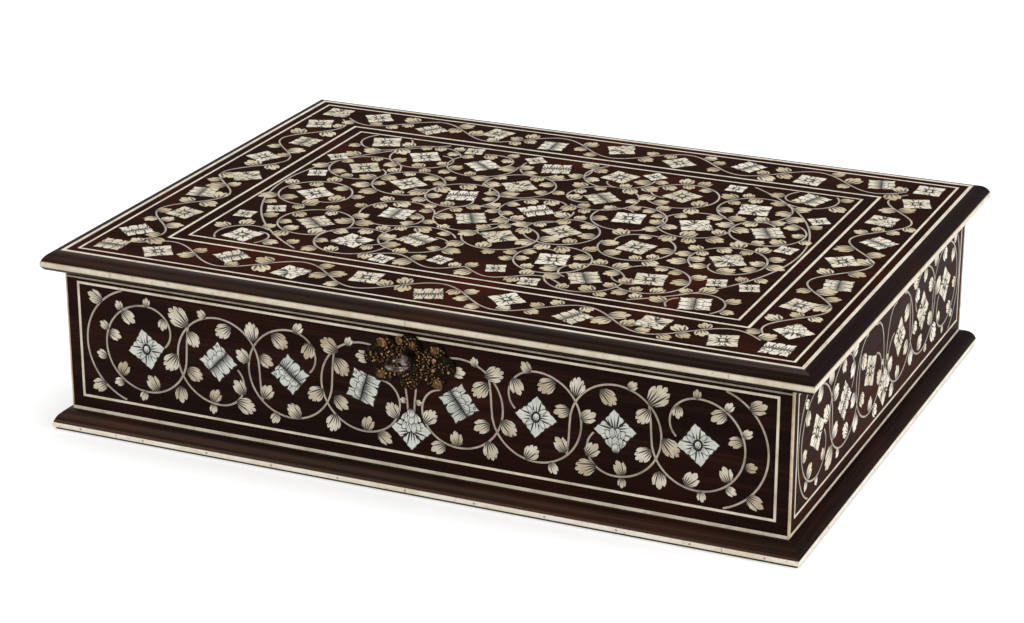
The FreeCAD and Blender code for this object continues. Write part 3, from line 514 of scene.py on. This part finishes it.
def stems(name, runs, panel, body):
    """Flat bone stems along runs of points, sunk in the panel with a slightly domed face."""
    bpy.ops.object.select_all(action="DESELECT")
    bpy.ops.curve.primitive_nurbs_path_add()
    profile = bpy.context.object
    profile.data.dimensions = "2D"
    profile.data.splines.clear()
    section = profile.data.splines.new("POLY")
    section.points.add(len(STEM_SECTION) - 1)
    for point, (across, up) in zip(section.points, STEM_SECTION):
        point.co = (across * STEM_WIDTH, up, 0, 1)
    section.use_cyclic_u = True
    bpy.ops.object.select_all(action="DESELECT")
    bpy.ops.curve.primitive_nurbs_path_add()
    piece = bpy.context.object
    line = piece.data
    line.dimensions = "3D"
    line.twist_mode = "Z_UP"
    line.splines.clear()
    for run in runs:
        spline = line.splines.new("POLY")
        spline.points.add(len(run) - 1)
        for point, (across, up) in zip(spline.points, run):
            point.co = (across, up, 0, 1)
    line.bevel_mode = "OBJECT"
    line.bevel_object = profile
    line.use_fill_caps = True
    bpy.ops.object.convert(target="MESH")
    piece = bpy.context.object
    bpy.data.objects.remove(profile)
    bpy.ops.object.mode_set(mode="EDIT")
    bpy.ops.mesh.select_all(action="SELECT")
    bpy.ops.mesh.normals_make_consistent(inside=False)
    bpy.ops.object.mode_set(mode="OBJECT")
    piece.name = name
    piece.data.transform(panel)
    piece.data.materials.clear()
    piece.data.materials.append(stem_bone)
    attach(piece, body)


def wall_panel(turn, base):
    """From a wall's own millimetres, across, up and out, to the frame's metres."""
    axes = Matrix(((1, 0, 0, 0), (0, 0, -1, 0), (0, 1, 0, 0), (0, 0, 0, 1)))
    spin = Matrix.Rotation(math.radians(turn), 4, "Z")
    return Matrix.Scale(0.001, 4) @ Matrix.Translation(base) @ spin @ axes


# Half the length and depth of the walls, and the top of the lid
WALL_X = 220
WALL_Y = 166
LID_TOP = 108
lid_panel = Matrix.Scale(0.001, 4) @ Matrix.Translation((0, 0, LID_TOP))
WALLS = {"front": wall_panel(0, (0, -WALL_Y, 0)), "right": wall_panel(90, (WALL_X, 0, 0)),
         "back": wall_panel(180, (0, WALL_Y, 0)), "left": wall_panel(270, (-WALL_X, 0, 0))}

# Sides of the square flowers, and the share of a lid flower's side that one in the border has
WALL_FLOWER = 18.2
LID_FLOWER = 18.5
SMALL_FLOWER = 12
BORDER_SHARE = 0.92
# Lengths of the leaves
SMALL_LEAF = 9.5
BROAD_LEAF = 12.5
# Widths of the inked rims of the petals
WALL_RIM = 0.34
LID_RIM = 0.24
SMALL_RIM = 0.2
wall_kinds = [flower("wall_flower", WALL_FLOWER, petals, wall_flower_bone, WALL_RIM) for petals in KINDS]
lid_kinds = [flower("lid_flower", LID_FLOWER, petals, lid_flower_bone, LID_RIM) for petals in KINDS]
lid_small = flower("lid_small_flower", SMALL_FLOWER, ROSETTE, lid_flower_bone, SMALL_RIM)


def leaf(name, outline, length, width, bone):
    """A leaf template that grows along X from the origin."""
    return blade(name, *petal(outline, length, width, (0, 0), 0), 1, LEAF_RISE, bone, 0)


leaf_three = leaf("leaf_of_three", THREE_LOBES, SMALL_LEAF, 7.6, leaf_bone)
lid_leaf = leaf("leaf_of_lid", THREE_LOBES, SMALL_LEAF, 8, lid_leaf_bone)
leaf_five = leaf("leaf_of_five", FIVE_LOBES, BROAD_LEAF, 9.8, leaf_bone)


# Walls

SCROLL_RADIUS = 26.4
SCROLL_LEVEL = 56.5
# The steps of the curl that ends a scroll's stem, and the share of the radius that it goes in
CURL_STEPS = 18
CURL_DEPTH = 0.52
# The middle flower's height, and the stem that rises from it and bends outwards
MIDDLE_LEVEL = 36
RISE = ((1.7, 45), (2.4, 54), (3.3, 62), (5, 70), (8.5, 76.5), (13.5, 80.3), (18.2, 81))
# The bows at the wall's ends: height of their middle, half their own height, and shift from the end scroll
END_LEVEL = 56.4
END_HEIGHT = 35.3
END_SHIFT = 4
# The length past which a leaf is broad, and the lengths at which small and broad templates keep their size
BROAD_FROM = 11.5
SMALL_ROW = 10.1
BROAD_ROW = 13.3


def polar(centre, radius, angle):
    """A point at a radius and an angle in degrees from a centre."""
    swing = math.radians(angle)
    return centre[0] + radius * math.cos(swing), centre[1] + radius * math.sin(swing)


def scroll(centre, over, right, inner):
    """A stem that comes from the next scroll, runs round its circle and curls in to the flower."""
    if inner:
        run = [polar((0, 0), SCROLL_RADIUS, angle) for angle in range(-66, -270, -5)]
    else:
        run = [(28, 18.5), (27.2, 13), (26.7, 7), (26.4, 1), (25.9, -5)]
        run += [polar((0, 0), SCROLL_RADIUS, angle) for angle in range(-20, -270, -5)]
    sweep, fall = (119, 3) if inner else (76.5, 2.2)
    for step in range(CURL_STEPS + 1):
        share = step / CURL_STEPS
        run.append(polar((0, 0), SCROLL_RADIUS * (1 - CURL_DEPTH * share ** fall), 90 - sweep * share))
    flip = 1 if over else -1
    side = -1 if right else 1
    return [(centre[0] + side * x, centre[1] + flip * y) for x, y in run]


# Leaves of the left half's scrolls as (root across, root up, tip across, tip up) from each scroll's centre
SCROLL_LEAVES = (
    ((-15.4, 21.6, -18.7, 27.7), (-15.4, 21, -6.4, 14.6), (1, 25.9, 1.6, 32.2), (12, 20.8, 11.2, 12.5),
     (-24.7, 9, -30.6, 13.1), (-24.7, 7, -16.1, 3.8), (-26.5, -8.5, -33.9, -6.1), (-17.8, -18.7, -13.9, -9),
     (-16, -21.9, -22.9, -24.5), (6.7, -24.5, -1, -16), (-1.9, -26.2, -4.3, -32.8), (-28, 25.1, -38.4, 29.4),
     (-28, -24.8, -38.4, -29.4), (28, 18.4, 15.7, 29.2), (20.2, 0, 10.9, -10.2), (21.4, -19, 22.6, -30.2)),
    ((-7, 25.4, -12.7, 29.7), (8.8, 22.4, -1.6, 15.5), (23.2, 16.3, 19.9, 28.1), (-19.3, 15.5, -11.8, 6.7),
     (-20.8, -7.6, -10.6, -14), (19.9, 3.2, 10.6, 8.7), (16.6, -17.2, 9.1, -9), (-4.9, -25.4, -0.7, -16.3),
     (-4.3, -26.5, -4.3, -33.2), (10.9, -22.2, 23.8, -26.8)),
    ((-19.6, 7.6, -9.7, 3.8), (-11.2, 22.4, -1, 14.6), (13.6, 20.7, 8.8, 10.5), (3.4, 25.1, 8.8, 31.5),
     (-17.8, -17.5, -10.9, -9), (6.1, -25.9, -2.2, -17.5), (-8.5, -25.1, -11.8, -32.4),
     (20.8, -5.5, 11.5, -14), (30.3, 18.4, 18.7, 24.2), (28.6, -19.2, 23.8, -30.6)),
    ((-10, 23, -8.2, 29.2), (-17.5, 14.6, -9.1, 4.7), (-18.4, -8.7, -9.1, -15.2), (21.1, -15.2, 13.3, -6.7),
     (0.7, -25.9, 3.4, -16), (8.5, -25.7, 17.2, -31.8)),
)


def wall_leaves(rows, centre, right, flipped, chance, edge):
    """Small and broad leaves of one scroll, mirrored on the right half and turned over where its stem is."""
    small, broad = [], []
    across = -1 if right else 1
    up = -1 if flipped else 1
    for root_x, root_y, tip_x, tip_y in rows:
        root = (centre[0] + across * root_x, centre[1] + up * root_y)
        way = math.degrees(math.atan2(up * (tip_y - root_y), across * (tip_x - root_x)))
        way += chance.uniform(-7, 7)
        length = math.hypot(tip_x - root_x, tip_y - root_y)
        if abs(centre[0] + across * tip_x) > edge:
            continue
        kind, row = (broad, BROAD_ROW) if length > BROAD_FROM else (small, SMALL_ROW)
        kind.append((root[0], root[1], way, length / row, chance.uniform(-0.2, 0.2)))
    return small, broad


def dress_wall(side, scrolls, kinds, leaf_rows, over_first, reach, edge, leaf_bone_as_lit, bloom_bone_as_lit):
    """The stems, leaves and flowers of one wall. Leaf rows are places in SCROLL_LEAVES, left end first."""
    panel = WALLS[side]
    chance = random.Random(side)
    half = len(scrolls) // 2
    runs, small, broad = [], [], []
    for index, (across, turn) in enumerate(scrolls):
        right = index >= half
        order = len(scrolls) - 1 - index if right else index
        over = (order % 2 == 0) == over_first
        centre = (across, SCROLL_LEVEL)
        runs.append(scroll(centre, over, right, order == half - 1))
        row = leaf_rows[order]
        leaves = wall_leaves(SCROLL_LEAVES[row], centre, right, over != (row % 2 == 0), chance, edge)
        small += leaves[0]
        broad += leaves[1]
    end = abs(scrolls[0][0]) + END_SHIFT
    swings = [math.radians(step) for step in range(-72, 73, 4)]
    for sign in (-1, 1):
        runs.append([(sign * (end + reach * math.cos(swing)), END_LEVEL + END_HEIGHT * math.sin(swing))
                     for swing in swings])
        runs.append([(sign * x, y) for x, y in RISE])
        # A small leaf on the rising stem
        small.append((sign * 2.5, 52.5, 90 - sign * 80, 0.46, 0.0))
    stems(side + "_stems", runs, panel, "case")
    leaves = settle(leaf_three, small, panel) + settle(leaf_five, broad, panel)
    piece = gather(side + "_leaves", leaves, "case")
    swap_material(piece, leaf_bone, leaf_bone_as_lit)
    spots = [(across, SCROLL_LEVEL, turn, 1, chance.uniform(-0.1, 0.15)) for across, turn in scrolls]
    spots.append((0, MIDDLE_LEVEL, 45, 1, 0.1))
    blooms = []
    for (across, up, turn, scale, tone), (kind, quarter) in zip(spots, kinds):
        blooms += settle(wall_kinds[kind], [(across, up, turn + 90 * quarter, scale, tone)], panel)
    piece = gather(side + "_engraved_flowers", blooms, "case")
    swap_material(piece, wall_flower_bone, bloom_bone_as_lit)
    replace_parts(piece, side + "_flowers")


# Each scroll's place along the wall and the turn of its flower
FRONT_SCROLLS = ((-168, 57), (-121, 46), (-75, 51), (-29, 73), (29, 36), (75, 42), (121, 48), (168, 54))
SIDE_SCROLLS = ((-124, 57), (-76, 46), (-28.5, 70), (28.5, 36), (76, 42), (124, 52))
# Each flower's kind and quarter turns, from left to right, with the middle one last
FRONT_KINDS = ((0, 0), (1, 0), (1, 1), (1, 0), (1, 3), (0, 0), (2, 0), (0, 0), (2, 2))
SIDE_KINDS = ((0, 0), (1, 0), (0, 0), (0, 0), (2, 0), (0, 0), (2, 2))
for side in ("front", "back"):
    dress_wall(side, FRONT_SCROLLS, FRONT_KINDS, leaf_rows=(0, 1, 2, 3), over_first=True, reach=35.3,
               edge=209, leaf_bone_as_lit=leaf_bone, bloom_bone_as_lit=wall_flower_bone)
# The sides take the paler copies of the bone: painted light
for side in ("right", "left"):
    dress_wall(side, SIDE_SCROLLS, SIDE_KINDS, leaf_rows=(0, 1, 3), over_first=False, reach=27.5,
               edge=153, leaf_bone_as_lit=side_leaf_bone, bloom_bone_as_lit=side_flower_bone)


# Lid

# Large and small flowers of the field, as (across, back, turn)
FIELD = (
    (-144, 97, 22), (142, 97, -18), (-108, 79, 33), (117, 65, 8), (-67.5, 78, -40), (68, 72, -25),
    (-22.5, 90, 17), (20, 91, -18), (-30, 49.5, 42), (25, 49, 45), (-133, 44, 33), (137.5, 29, 30),
    (-94.5, 27, -39), (94, 25, 24), (-54.5, 19, 15), (53.5, 21, 8), (-2, 11, 45), (-138, -13, -40),
    (132.5, -25.5, 33), (-76, -27, 3), (76.5, -25, -12), (-32, -17, 29), (26.5, -17.5, -35), (-3, -40, 40),
    (-113, -60.5, -42), (103, -71.5, 10), (-45, -64, -22), (40.5, -63.5, 12), (-78, -81, -17),
    (68.5, -84, 30), (-141.5, -97.5, -15), (139.5, -97.5, 15),
)
SMALL_FIELD = (
    (-84, 102, 10), (-41, 100.5, 40), (39.5, 100.5, -40), (93, 99, 0), (-159, 57.5, 40), (158.5, 61, 35),
    (-155.5, 23, 20), (157, 5, -10), (-146, -48, 25), (-158.5, -64, 5), (139, -61.5, 15), (158.5, -62.5, 20),
    (-49, -102, -12), (-18, -90, -15), (17, -90, 20), (42.5, -102, 10),
)
# The border's middle line, how far its flowers sway from it, their pitches, and the swing of its stems
BORDER_X = 197.25
BORDER_Y = 137.5
SWAY = 4.9
PITCH_X = 43
PITCH_Y = 38.5
SWING = 12.5
# Room for stems and leaves, from the middle of the lid: the field's edge, and the border's edges
FIELD_EDGE = (167.6, 108.6)
BORDER_INNER = (180.2, 121.2)
BORDER_OUTER = (214.5, 154)
# Radii of the stems' loops round the large flowers, in the field and in its corners, and where these begin
LOOP = 22.5
CORNER_LOOP = 16.5
CORNER_X = 130
CORNER_Y = 90
# Degrees that a loop runs round, their step, the degrees that it then curls in, and the steps of that
LOOP_TURN = 300
LOOP_STEP = 6
LOOP_CURL = 70
LOOP_CURL_STEPS = 13
# Half axes of the long bows at the field's ends
BOW_X = 167
BOW_Y = 135
# The wave along the field's front: its middle line, its height, its first crest and half its length
WAVE_LINE = -97.5
WAVE_HEIGHT = 6.5
WAVE_START = 18
WAVE_HALF = 27
border = []
for sign in (-1, 1):
    for step in range(-4, 5):
        shift = SWAY if step % 2 == 0 else -SWAY
        border.append((step * PITCH_X, sign * (BORDER_Y + shift), 25 + 20 * step))
    for step in range(-3, 4):
        shift = SWAY if step % 2 else -SWAY
        border.append((sign * (BORDER_X + shift), step * PITCH_Y, 35 + 25 * step))
    for other in (-1, 1):
        border.append((sign * (BORDER_X + SWAY), other * (BORDER_Y + SWAY), 0))


def near_flower(spot, plants, margin):
    """Whether a point lies on one of the flowers (x, y, turn, half side), or within a margin of it."""
    for x, y, turn, half in plants:
        swing = math.radians(-turn)
        across, up = spot[0] - x, spot[1] - y
        if max(abs(across * math.cos(swing) - up * math.sin(swing)),
               abs(across * math.sin(swing) + up * math.cos(swing))) < half + margin:
            return True
    return False


# How far a stem reaches under a flower's edge, and the fewest points of a stretch that is kept
STEM_TUCK = 0.2
LEAST_POINTS = 4


def cleared(run, plants, inside):
    """The stretches of a run that lie inside the panel and off the flowers."""
    pieces, stretch = [], []
    for spot in run:
        if inside(spot) and not near_flower(spot, plants, -STEM_TUCK):
            stretch.append(spot)
        else:
            pieces.append(stretch)
            stretch = []
    pieces.append(stretch)
    return [piece for piece in pieces if len(piece) >= LEAST_POINTS]


# A leaf's root and tip allowances from the stem, and the margins of its tip and its middle to the flowers
ROOT = 0.3
TIP = 0.6
TIP_MARGIN = 0.8
MIDDLE_MARGIN = 3


def grow_leaves(runs, plants, inside, chance, apart, sizes):
    """Leaves along both sides of the stems, wherever there is room.

    Apart is the least distance of two leaves' middles, as a share of their mean length.
    """
    places = []
    for run in runs:
        for before, spot, after in zip(run, run[1:], run[2:]):
            way = math.degrees(math.atan2(after[1] - before[1], after[0] - before[0]))
            places += [(spot, way + 90), (spot, way - 90)]
    chance.shuffle(places)
    taken = []
    spots = []
    for spot, way in places:
        way += chance.uniform(-35, 35)
        length = chance.choice(sizes)
        middle = polar(spot, length / 2 + ROOT, way)
        tip = polar(spot, length + TIP, way)
        if not inside(tip) or not inside(middle):
            continue
        if near_flower(tip, plants, TIP_MARGIN) or near_flower(middle, plants, MIDDLE_MARGIN):
            continue
        if any((middle[0] - x) ** 2 + (middle[1] - y) ** 2 < ((length + other) / 2 * apart) ** 2
               for x, y, other in taken):
            continue
        taken.append((middle[0], middle[1], length))
        root = polar(spot, ROOT, way)
        spots.append((root[0], root[1], way, length / SMALL_LEAF, chance.uniform(-0.22, 0.2)))
    return spots


def within(spot, edge):
    """Whether a point lies in a rectangle round the middle of the lid."""
    return abs(spot[0]) < edge[0] and abs(spot[1]) < edge[1]


def in_field(spot):
    """Whether there is room for stems and leaves in the field."""
    return within(spot, FIELD_EDGE)


def in_border(spot):
    """Whether there is room for stems and leaves in the border."""
    past_inner = abs(spot[0]) > BORDER_INNER[0] or abs(spot[1]) > BORDER_INNER[1]
    return within(spot, BORDER_OUTER) and past_inner


chance = random.Random(1)
plants = [(x, y, turn, LID_FLOWER / 2) for x, y, turn in FIELD]
plants += [(x, y, turn, SMALL_FLOWER / 2) for x, y, turn in SMALL_FIELD]
runs = []
for index, (x, y, turn) in enumerate(FIELD):
    radius = CORNER_LOOP if abs(x) > CORNER_X and abs(y) > CORNER_Y else LOOP
    hand = 1 if (index // 2) % 2 else -1
    if x > 0:
        hand = -hand
    # Each loop leaves the loop of its nearest neighbour towards the middle of the lid
    inner = [spot for spot in FIELD if math.hypot(spot[0], spot[1]) < math.hypot(x, y)] or [(0, 30)]
    parent = min(inner, key=lambda spot: math.hypot(spot[0] - x, spot[1] - y))
    apart = math.hypot(parent[0] - x, parent[1] - y)
    begin = math.degrees(math.atan2(parent[1] - y, parent[0] - x))
    begin += hand * math.degrees(math.acos(min(1, apart / (radius + LOOP))))
    loop = [polar((x, y), radius, begin + hand * swing) for swing in range(0, LOOP_TURN + 1, LOOP_STEP)]
    for step in range(1, LOOP_CURL_STEPS + 1):
        share = step / LOOP_CURL_STEPS
        angle = begin + hand * (LOOP_TURN + LOOP_CURL * share)
        loop.append(polar((x, y), radius * (1 - 0.5 * share ** 2), angle))
    runs += cleared(loop, plants, in_field)
for sign in (-1, 1):
    bow = [(sign * BOW_X * math.cos(math.radians(step)), BOW_Y * math.sin(math.radians(step)))
           for step in range(-52, 53, 2)]
    runs += cleared(bow, plants, in_field)
wave = [(x, WAVE_LINE - WAVE_HEIGHT * math.cos(math.pi * (abs(x) - WAVE_START) / WAVE_HALF))
        for x in range(-62, 63, 2)]
runs += cleared(wave, plants, in_field)
field_leaves = grow_leaves(runs, plants, in_field, chance, apart=1.04, sizes=(9, 10.5, 11.5, 12.5))
stems("lid_field_stems", runs, lid_panel, "lid")
gather("lid_field_leaves", settle(lid_leaf, field_leaves, lid_panel), "lid")


def lid_blooms(places, order, scale, chance):
    """Large flowers of the lid, with kinds in a repeating order and a further quarter turn for each."""
    made = []
    for index, (x, y, turn) in enumerate(places):
        spot = (x, y, turn + 90 * (index % 4), scale, chance.uniform(-0.1, 0.25))
        made += settle(lid_kinds[order[index % len(order)]], [spot], lid_panel)
    return made


blooms = lid_blooms(FIELD, (0, 1, 0, 2, 1), 1, chance)
for x, y, turn in SMALL_FIELD:
    blooms += settle(lid_small, [(x, y, turn, 1, chance.uniform(0.05, 0.3))], lid_panel)
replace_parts(gather("lid_field_engraved_flowers", blooms, "lid"), "lid_field_flowers")

border_plants = [(x, y, turn, LID_FLOWER * BORDER_SHARE / 2) for x, y, turn in border]
border_runs = []
for sign in (-1, 1):
    wave = [(x, sign * (BORDER_Y - SWING * math.cos(math.pi * x / PITCH_X))) for x in range(-190, 191, 2)]
    border_runs += cleared(wave, border_plants, in_border)
    wave = [(sign * (BORDER_X + SWING * math.cos(math.pi * y / PITCH_Y)), y) for y in range(-130, 131, 2)]
    border_runs += cleared(wave, border_plants, in_border)
border_leaves = grow_leaves(border_runs, border_plants, in_border, chance, apart=0.98,
                            sizes=(9.5, 11.5, 13))
stems("lid_border_stems", border_runs, lid_panel, "lid")
gather("lid_border_leaves", settle(lid_leaf, border_leaves, lid_panel), "lid")
blooms = lid_blooms(border, (0, 1, 2, 0, 1), BORDER_SHARE, chance)
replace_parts(gather("lid_border_engraved_flowers", blooms, "lid"), "lid_border_flowers")


# Lock plate: clusters of grapes and leaves

bead = start(bpy.ops.mesh.primitive_uv_sphere_add, "bead", segments=8, ring_count=5, radius=1)
bpy.ops.mesh.select_all(action="SELECT")
bpy.ops.mesh.bisect(plane_co=(0, 0, -0.35), plane_no=(0, 0, 1), clear_inner=True, use_fill=True)
bpy.ops.mesh.select_all(action="SELECT")
bpy.ops.mesh.normals_make_consistent(inside=False)
bpy.ops.mesh.faces_shade_smooth()
bpy.ops.object.mode_set(mode="OBJECT")
bead.data.attributes.new("tone", "FLOAT", "POINT")
bead.data.materials.append(gilt_beads)

# Heights of the plate's middle and its keyhole, and how far off the wall its ornament starts
PLATE_LEVEL = 76.5
KEYHOLE_LEVEL = 80
PLATE_FACE = 1.1
# The number of grapes, the angle that spreads them, and how far they spread from the middle over the lobes
GRAPES = 340
GOLDEN_ANGLE = 137.508
LOBES = 8
SPREAD_X = 26.6
SPREAD_Y = 15
# They keep off the keyhole, off the slot under it down to its foot, and off the notches between the lobes
KEYHOLE_CLEAR = 4.6
SLOT_CLEAR = 2.6
SLOT_FOOT = 70
NOTCH_REACH = 0.6
NOTCH_DEPTH = -0.4
# How far the pin heads and the gilt leaves stand out from the ornament's start
PINS_OUT = 0.6
SPRIGS_OUT = 0.75
chance = random.Random(7)
face = WALLS["front"] @ Matrix.Translation((0, 0, PLATE_FACE))
clusters = []
for step in range(GRAPES):
    swing = GOLDEN_ANGLE * step
    lobe = math.cos(math.radians(LOBES * swing))
    reach = math.sqrt((step + 0.5) / GRAPES) * (0.94 + 0.1 * lobe)
    across = SPREAD_X * reach * math.cos(math.radians(swing))
    up = PLATE_LEVEL + SPREAD_Y * reach * math.sin(math.radians(swing))
    if math.hypot(across, up - KEYHOLE_LEVEL) < KEYHOLE_CLEAR:
        continue
    if abs(across) < SLOT_CLEAR and SLOT_FOOT < up < KEYHOLE_LEVEL:
        continue
    if reach > NOTCH_REACH and lobe < NOTCH_DEPTH:
        continue
    clusters.append((across, up, 0, chance.uniform(0.7, 1.0), 0))
gather("escutcheon_grapes", settle(bead, clusters, face), "case")
heads = settle(bead, [(15.2, 80.2, 0, 1.5, 0), (14.6, 74.2, 0, 1.4, 0)],
               face @ Matrix.Translation((0, 0, PINS_OUT)))
pins = gather("escutcheon_pin_heads", heads, "case")
swap_material(pins, gilt_beads, pin_copper)
# Gilt leaves between the clusters, as (across, up, way, length)
SPRIGS = ((-14, 84, 140, 6.5), (15, 69, -48, 7), (-15, 69, 215, 6), (13.5, 84.5, 35, 6), (-5, 86, 112, 5.5),
          (1.5, 84.5, 75, 5))
sprigs = settle(leaf_five, [(x, y, way, length / BROAD_LEAF, 0) for x, y, way, length in SPRIGS],
                face @ Matrix.Translation((0, 0, SPRIGS_OUT)))
gilt_leaves = gather("escutcheon_leaves", sprigs, "case")
swap_material(gilt_leaves, leaf_bone, gilt_leaf)
# Two bone leaves of the wall that show at the ends of the plate
ends = settle(leaf_three, [(-24.5, 74.5, 177, 1, -0.1), (24.8, 74.5, 3, 0.9, 0)], WALLS["front"])
gather("front_lock_leaves", ends, "case")

for template in wall_kinds + lid_kinds + [lid_small, leaf_three, lid_leaf, leaf_five, bead]:
    bpy.data.objects.remove(template)


# Floor, light and camera

def seen_directly(tree):
    """One for camera, mirror and see-through rays, and nought for the rays that only carry light."""
    rays = add(tree, "LightPath").outputs
    seen = add(tree, "Math", {0: rays["Is Camera Ray"], 1: rays["Is Glossy Ray"]}, operation="MAXIMUM")
    seen = add(tree, "Math", {0: seen.outputs[0], 1: rays["Is Transmission Ray"]}, operation="MAXIMUM")
    return seen.outputs[0]


bpy.ops.object.select_all(action="DESELECT")
bpy.ops.mesh.primitive_plane_add(size=14, location=(0, 0, 0))
floor = bpy.context.object
floor.name = "floor"
paper, tree, _ = blank("white_paper_sweep")
glow = add(tree, "Math", {0: seen_directly(tree), 1: 0.3}, operation="MULTIPLY")
close(tree, add(tree, "BsdfPrincipled", {
    "Base Color": linear("#f4f4f4"), "Roughness": 0.9, "Specular IOR Level": 0.0,
    "Emission Color": linear("#ffffff"), "Emission Strength": glow.outputs[0]}))
floor.data.materials.append(paper)

world = bpy.data.worlds.new("white_studio")
scene.world = world
world.use_nodes = True
tree = world.node_tree
tree.nodes.clear()
level = add(tree, "MapRange", {"Value": seen_directly(tree), "To Min": 0.55, "To Max": 1.0})
sky = add(tree, "Background", {"Color": linear("#ffffff"), "Strength": level.outputs[0]})
add(tree, "OutputWorld", {"Surface": sky.outputs[0]})


def softbox(name, place, aim, width, height, power):
    """A flat soft lamp turned towards a point."""
    bpy.ops.object.light_add(type="AREA", location=place)
    lamp = bpy.context.object
    lamp.name = name
    lamp.data.shape = "RECTANGLE"
    lamp.data.size = width
    lamp.data.size_y = height
    lamp.data.energy = power
    lamp.rotation_euler = (Vector(aim) - Vector(place)).to_track_quat("-Z", "Y").to_euler()


# Each lamp's name, place, aim, width, height and power in watts
softbox("key_softbox", (-1.4, -1.5, 2.1), (0, 0, 0.05), 1.4, 1.4, 12)
softbox("top_softbox", (0.2, 0.6, 2.4), (0, 0, 0.05), 1.6, 1.6, 22)
softbox("side_softbox", (2.3, -0.1, 1.0), (0.2, 0, 0.04), 1.4, 1.4, 31)
softbox("low_softbox", (-0.95, -2.1, 0.45), (0, -0.17, 0.05), 1.7, 0.3, 9.5)

# The camera as fitted to the corners of the box in the photo
bpy.ops.object.camera_add(location=(0.6272, -1.4403, 0.6491))
camera = bpy.context.object
camera.rotation_euler = Vector((-0.37932, 0.85342, -0.35748)).to_track_quat("-Z", "Y").to_euler()
camera.data.lens = 98.34
camera.data.sensor_width = 36
camera.data.dof.use_dof = False
scene.camera = camera
